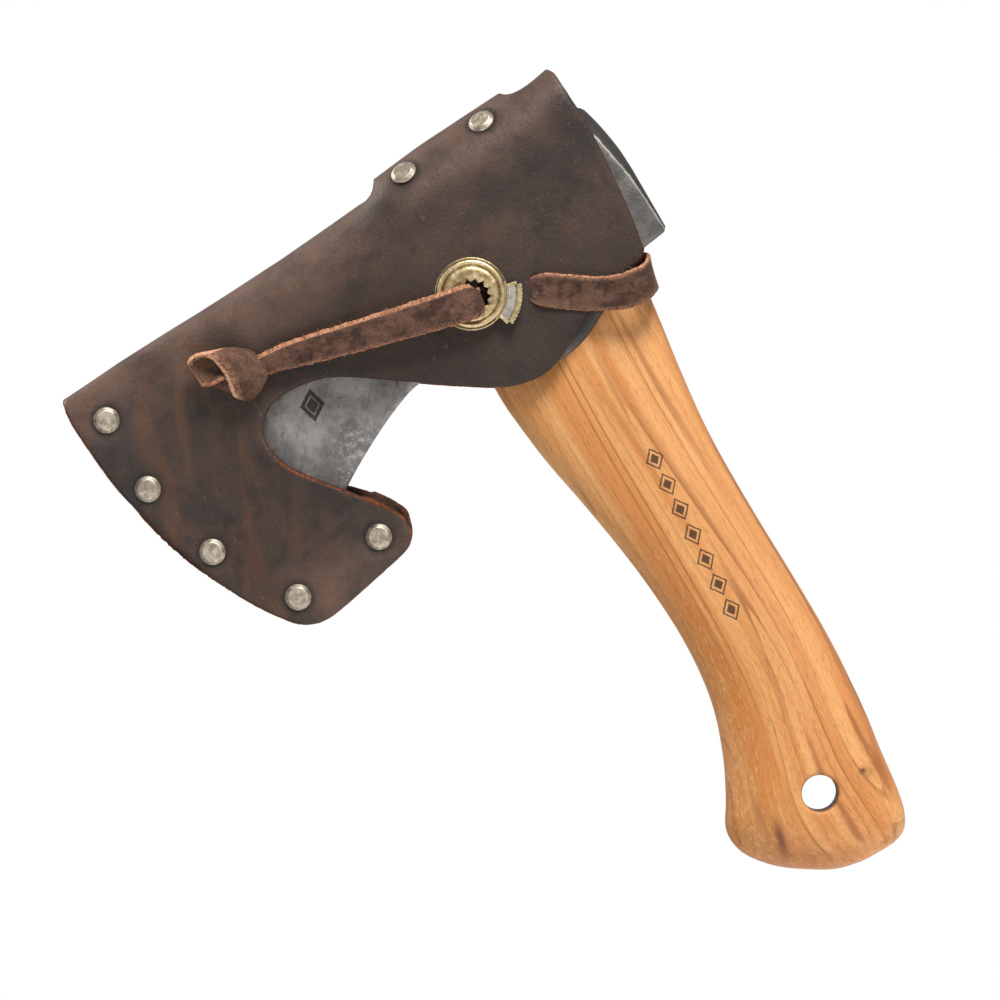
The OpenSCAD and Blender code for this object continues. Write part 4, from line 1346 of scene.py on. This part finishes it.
def patch(grid, origin, seed, lean=0.0, worn=1.0):
    """A bent strip of lace through a small grid of outside points, in ribbon()'s form.

    lean is how far the back of its first edge stands out beyond the front, so that the cut shows, and worn
    is how pale that cut is painted: above 1 it carries a painted highlight.
    """
    grid = np.array(grid, float) * (1, -1, 1) + origin
    across = np.array([curve(row, 5) for row in grid])
    fine = np.array([curve(line, 5) for line in across.transpose(1, 0, 2)]).transpose(1, 0, 2)
    rows, columns = fine.shape[:2]
    along = np.cumsum(np.linalg.norm(np.gradient(fine[:, columns // 2], axis=0), axis=1))
    side = unit(np.gradient(fine, axis=1))
    normal = unit(np.cross(np.gradient(fine, axis=0), side))
    place = np.linspace(-1, 1, columns)
    drop = 0.5 * np.clip((np.abs(place) - 0.8) / 0.2, 0, 1)**2
    width = np.linalg.norm(fine[:, -1] - fine[:, 0], axis=1)
    # (column, depth, slot, rim)
    section = [(j, drop[j], 0, 0.12 + 0.88 * smoothstep(0.72, 0.95, -place[j])) for j in range(columns)]
    section += [(columns - 1, LACE_T * f, 1, 1.0) for f in (0.4, 0.75)]
    section += [(j, LACE_T - 0.5 * drop[j], 0, 0.0) for j in range(columns - 1, -1, -1)]
    # The first edge's cut takes the rim worn, which above 1 is a painted highlight
    section += [(0, LACE_T * f, 1, worn) for f in (0.75, 0.4)]
    points, lay, rim = [], [], []
    for i in range(rows):
        for j, depth, cut, value in section:
            bulge = side[i, j] * (0.15 if j else -0.15) * cut + cut * 0.07 * rng.normal(0, 1, 3)
            bulge -= side[i, j] * lean * (j == 0) * min(1, 1.6 * depth / LACE_T)
            points.append(fine[i, j] - normal[i, j] * depth + bulge)
            lay.append((along[i] + seed * 40, place[j] * width[i] / 2, depth))
            rim.append(value)
    faces, slots = loft_faces(rows, [cut for _, _, cut, _ in section])
    return np.array(points), faces, slots, np.array(lay), np.array(rim)


def make_knot():
    """The overhand knot: a domed wrap, the fold below it, and the cut end curled into a gutter."""
    low, high = box_mm("lace_knot")
    origin = np.array([(low[0] + high[0]) / 2, high[1], (low[2] + high[2]) / 2])
    # worn above 1 paints a highlight on the knot's cut edges
    folds = [patch(KNOT_BAND, origin, 2, lean=2.5, worn=2.0), patch(KNOT_UNDER, origin, 4)]
    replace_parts(lace_piece("lace_knot_wrap", folds, "knot", 40, 9), "lace_knot")
    lace_piece("lace_knot_tip", [patch(KNOT_TIP, origin, 7, lean=0.4, worn=1.7)], "knot", 16, 12)


make_knot()

loop_path = np.array([
    (-0.2, -15.2, 174.2), (0.8, -17.2, 173.4), (2.9, -18.7, 172.0), (6.4, -19.0, 169.6), (15.0, -19.1, 163.7),
    (23.0, -19.5, 159.6), (28.7, -19.9, 158.4), (32.0, -18.4, 158.7), (33.9, -14, 159.7), (34.5, -7, 160.6),
    (34.6, 0, 161.2), (34.4, 8, 162.0), (33.4, 14.5, 162.6), (30.5, 18.7, 163.0), (24, 19.2, 164.6),
    (13, 18.9, 168.6), (3, 18.8, 172.4), (-3.5, 18.8, 175.0), (-6.5, 18.8, 176.2)])
loop_hints = [
    (0.57, 0.1, 0.82), (0.57, 0.0, 0.82), (0.57, -0.1, 0.82), (0.57, -0.2, 0.82), (0.52, -0.3, 0.82),
    (0.4, -0.3, 0.86), (0.3, -0.34, 0.88), (0.25, -0.42, 0.86), (0.2, -0.42, 0.86), (0.25, -0.2, 0.93),
    (0.28, 0.05, 0.95), (0.3, 0, 0.95), (0.3, 0, 0.95), (0.35, 0, 0.93), *[(0.38, 0, 0.92)] * 5]
loop_widths = [5.0, 7.4, 9.6, 10.7, 10.9, 11.0, 11.4, 11.4, 11.0, 10.0, 9.2, 9.1, *[9.0] * 5, 8.6, 6.5]
loop_strip = ribbon(loop_path, loop_hints, loop_widths, seed=6, bow=0.2, top_cut=1.7)
loop = lace_piece("lace_loop_strip", [loop_strip], None, 30, 17)
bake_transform(loop)
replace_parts(loop, "lace_legs", "lace_bend")

inner_path = np.array([(-13.5, -14.0, 180.2), (-9, -13.6, 178.3), (-3.5, -13.6, 176.4), (-2.4, -14.6, 175.6)])
inner_strip = ribbon(inner_path, [(0.38, 0, 0.92)] * 4, [7.5, 8, 8, 8], seed=8)
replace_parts(lace_piece("lace_inside_strip", [inner_strip], "sheath"), "lace_inner_run")

anchor_cap = cap_frame(rivet_places("anchor_rivet_cap")[0], BACK)
make_rivets("anchor_rivet", CAP_PROFILE, [(anchor_cap, BACK)], 0.2, "anchor_rivet_cap")


# ---- lock -----------------------------------------------------------------------------------

lock_base_point = LOCK_CENTRE.copy()
lock_base_point[1] = box_mm("lock_case")[1][1]
LOCK_R = (box_mm("lock_case")[1][2] - box_mm("lock_case")[0][2]) / 2
button_across = np.cross(FRONT, BUTTON_AXIS)


def lock_point(u, w, h):
    """A point by distance towards the button, across it and off the leather."""
    return lock_base_point + BUTTON_AXIS * u + button_across * w + FRONT * h


# The lace pulls through below the middle of the case, towards its right
hole_offset = 0.6 * np.array([0.866, 0, -0.5]) + 0.85 * np.array([-0.5, 0, -0.866])
HOLE_SHIFT = np.array([hole_offset @ BUTTON_AXIS, hole_offset @ button_across])


def make_case():
    """The pressed brass case, with a toothed hole that grips the lace and a window for the slider."""
    teeth = 13
    count = teeth * 14
    wheel = np.linspace(0, 2 * math.pi, count, endpoint=False)
    tooth = wheel * teeth / (2 * math.pi)
    sizes = np.array([1.0, 0.8, 1.15, 0.9, 1.1, 0.7, 1.0, 1.2, 0.85, 1.0, 1.1, 0.75, 1.0])
    saw = np.abs(tooth % 1 - 0.5) * 2
    hole = 4.4 + 0.9 * sizes[tooth.astype(int) % teeth] * np.clip(1 - 1.15 * saw, 0, 1)
    # (radius, depth under the top), where a radius of 0 stands for the hole
    top = [
        (0, 2.3), (0, 0.95), (5.7, 0.62), (6.6, 0.42), (7.3, 0.42), (7.8, 0.56), (8.1, 0.74), (8.35, 0.76),
        (8.6, 0.5), (9.0, 0.14), (9.4, 0), (9.8, 0.12), (10.15, 0.5), (10.35, 1.1), (10.4, 2.0)]
    profile = [(r, LOCK_H - depth) for r, depth in top]
    profile += [(10.45, 1.3), (10.6, 0.95), (LOCK_R, 0.75), (LOCK_R, 0.25), (10.7, 0.0), (9.3, 0.0)]
    profile += [(9.3, LOCK_H - 1.8)]
    points = []
    for r, h in profile:
        radius = np.full(count, r) if r else hole
        share = np.interp(r, [5.7, 6.6, 7.3, 7.8, 8.35], [0.88, 0.6, 0.33, 0.15, 0]) if r else 1
        if r and h < LOCK_H - 1.7:
            share = 0
        across = np.column_stack([radius * np.cos(wheel), radius * np.sin(wheel)]) + share * HOLE_SHIFT
        points += [lock_point(u, w, h) for u, w in across]
    faces = tube_faces(len(profile), count, wrap=True)
    piece = make_mesh("lock_case_pressed", points, faces, [BRASS], "lock", "lock_brass")
    cut_with(piece, *arc_band(5.65, 12.0, 34, 0.82, 3.72, 0.02, 16))
    split_sharp(piece)
    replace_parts(piece, "lock_case")


def split_sharp(piece):
    """Shades the piece's sharp edges as sharp."""
    piece.modifiers.new("split", "EDGE_SPLIT").split_angle = math.radians(50)


def arc_band(r0, r1, half_angle, h0, h1, corner, count=40, outer=None, middle=0):
    """A curved block between two radii round the lock's centre, with rounded edges."""
    section = []        # (radius, height, whether it is on the outer side)
    for r, h, quarter in ((r1 - corner, h1 - corner, 0), (r0 + corner, h1 - corner, 90),
                          (r0 + corner, h0 + corner, 180), (r1 - corner, h0 + corner, 270)):
        section += [(x, y, quarter in (0, 270)) for x, y in arc((r, h), corner, quarter, quarter + 90, 4)]
    points = []
    for i, a in enumerate(np.radians(middle + np.linspace(-half_angle, half_angle, count + 1))):
        grow = 0 if outer is None else outer[i]
        for r, h, is_outer in section:
            radius = r + grow * is_outer
            points.append(lock_point(radius * math.cos(a), radius * math.sin(a), h))
    return np.array(points), tube_faces(count + 1, len(section))


def make_button():
    """The steel slider and the ribbed brass pad on its end."""
    plate = arc_band(8.2, 13.5, 25, 0.9, 3.3, 0.35)
    lips = [arc_band(10.6, 14.0, 1.9, 0.9, 3.65, 0.3, 8, middle=side * 25.8) for side in (-1, 1)]
    brow = arc_band(10.5, 11.2, 25, 2.6, 3.55, 0.25)
    points, faces = joined([plate, *lips, brow])
    slots = [int(i >= len(plate[1])) for i in range(len(faces))]
    slider = make_mesh("lock_slider", points, faces, [LOCK_STEEL, BRASS], "button", "lock_steel", slots)
    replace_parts(slider, "lock_plunger")
    ribs = 11
    count = ribs * 8
    rib_height = 0.34 * np.abs(np.sin(math.pi * np.linspace(0, ribs, count + 1))) - 0.16
    pad = arc_band(13.75, 15.25, 24, 0.5, 3.8, 0.25, count, rib_height)
    neck = arc_band(12.9, 14.4, 21, 1.2, 2.8, 0.2, 12)
    piece = make_mesh("lock_pad", *joined([pad, neck]), [BRASS], "button", "lock_brass")
    split_sharp(piece)
    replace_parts(piece, "lock_thumb_pad")


def make_plate():
    """The ring that closes the case from behind."""
    count = 72
    section = [(5.6, 0.05), (5.6, 0.7), (9.2, 0.7), (9.2, 0.05)]
    turns = np.linspace(0, 2 * math.pi, count, endpoint=False)
    points = [lock_point(r * math.cos(a), r * math.sin(a), h) for r, h in section for a in turns]
    faces = tube_faces(len(section), count, wrap=True)
    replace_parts(make_mesh("lock_plate", points, faces, [BRASS], "lock", "lock_brass"), "lock_base")


def make_spring():
    """The wire spring behind the slider."""
    start, end, turns, coil, wire, height = -9.75, -6.4, 3, 1.0, 0.2, 2.15
    steps, sides = 72, 8
    points = []
    for i in range(steps + 1):
        a = 2 * math.pi * turns * i / steps
        u = start + wire + (end - start - 2 * wire) * i / steps
        for b in np.linspace(0, 2 * math.pi, sides, endpoint=False):
            r = coil + wire * math.cos(b)
            points.append(lock_point(u + wire * math.sin(b), r * math.cos(a), height + r * math.sin(a)))
    piece = make_mesh("lock_coil", points, tube_faces(steps + 1, sides), [SPRING_STEEL], "lock", "lock_steel")
    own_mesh(piece)
    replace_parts(piece, "lock_spring")


make_case()
make_button()
make_plate()
make_spring()


# ---- studio ---------------------------------------------------------------------------------

def make_floor():
    """A plain pale disc, well below the piece."""
    count, radius, below = 96, 300, 95
    low, high = (np.array(corner) / MM for corner in cad_box)
    disc = arc((low + high)[:2] / 2, radius, 0, 360 * (1 - 1 / count), count)
    points = np.column_stack([disc, np.full(count, low[2] - below)])
    material = Nodes("studio_floor").finish(color=(0.9, 0.9, 0.9, 1), rough=0.7, specular=0.2)
    make_mesh("floor", points, [range(count)], [material], smooth=False)


def area_light(name, place, target_height, size, power):
    """A soft round light aimed at a point on the piece's middle line."""
    data = bpy.data.lights.new(name, "AREA")
    data.shape = "DISK"
    data.size = size
    data.energy = power
    light = bpy.data.objects.new(name, data)
    light.location = place
    aim = Vector((-0.03, 0, target_height)) - Vector(place)
    light.rotation_euler = aim.to_track_quat("-Z", "Y").to_euler()
    bpy.context.scene.collection.objects.link(light)


def make_world():
    """White to the camera, and a weaker light on the piece."""
    world = bpy.data.worlds.new("studio_white")
    bpy.context.scene.world = world
    world.use_nodes = True
    tree = world.node_tree
    background = tree.nodes["Background"]
    background.inputs["Color"].default_value = (1, 1, 1, 1)
    seen = tree.nodes.new("ShaderNodeLightPath").outputs["Is Camera Ray"]
    strength = tree.nodes.new("ShaderNodeMapRange")
    strength.inputs["To Min"].default_value = 0.38
    strength.inputs["To Max"].default_value = 1.0
    tree.links.new(seen, strength.inputs["Value"])
    tree.links.new(strength.outputs["Result"], background.inputs["Strength"])


def make_camera():
    """From straight in front, far off, with the head turned to the upper left."""
    distance, field_of_view, roll = 3.0, 0.3, math.radians(30)
    data = bpy.data.cameras.new("camera")
    data.sensor_width = 36
    data.lens = data.sensor_width * distance / field_of_view
    camera = bpy.data.objects.new("camera", data)
    bpy.context.scene.collection.objects.link(camera)
    right = Vector((math.cos(roll), 0, -math.sin(roll)))
    up = Vector((math.sin(roll), 0, math.cos(roll)))
    matrix = Matrix((right, up, right.cross(up))).transposed().to_4x4()
    matrix.translation = Vector((-0.0390, -distance, 0.1237))
    camera.matrix_world = matrix
    bpy.context.scene.camera = camera


make_floor()
make_world()
area_light("key", (0.72, -0.85, 1.05), 0.14, 0.6, 22)
area_light("fill", (-0.5, -1.1, -0.5), 0.12, 0.9, 3)
area_light("rim", (-0.6, 0.35, 0.95), 0.15, 0.6, 5)
make_camera()
bpy.context.scene.view_settings.view_transform = "Standard"
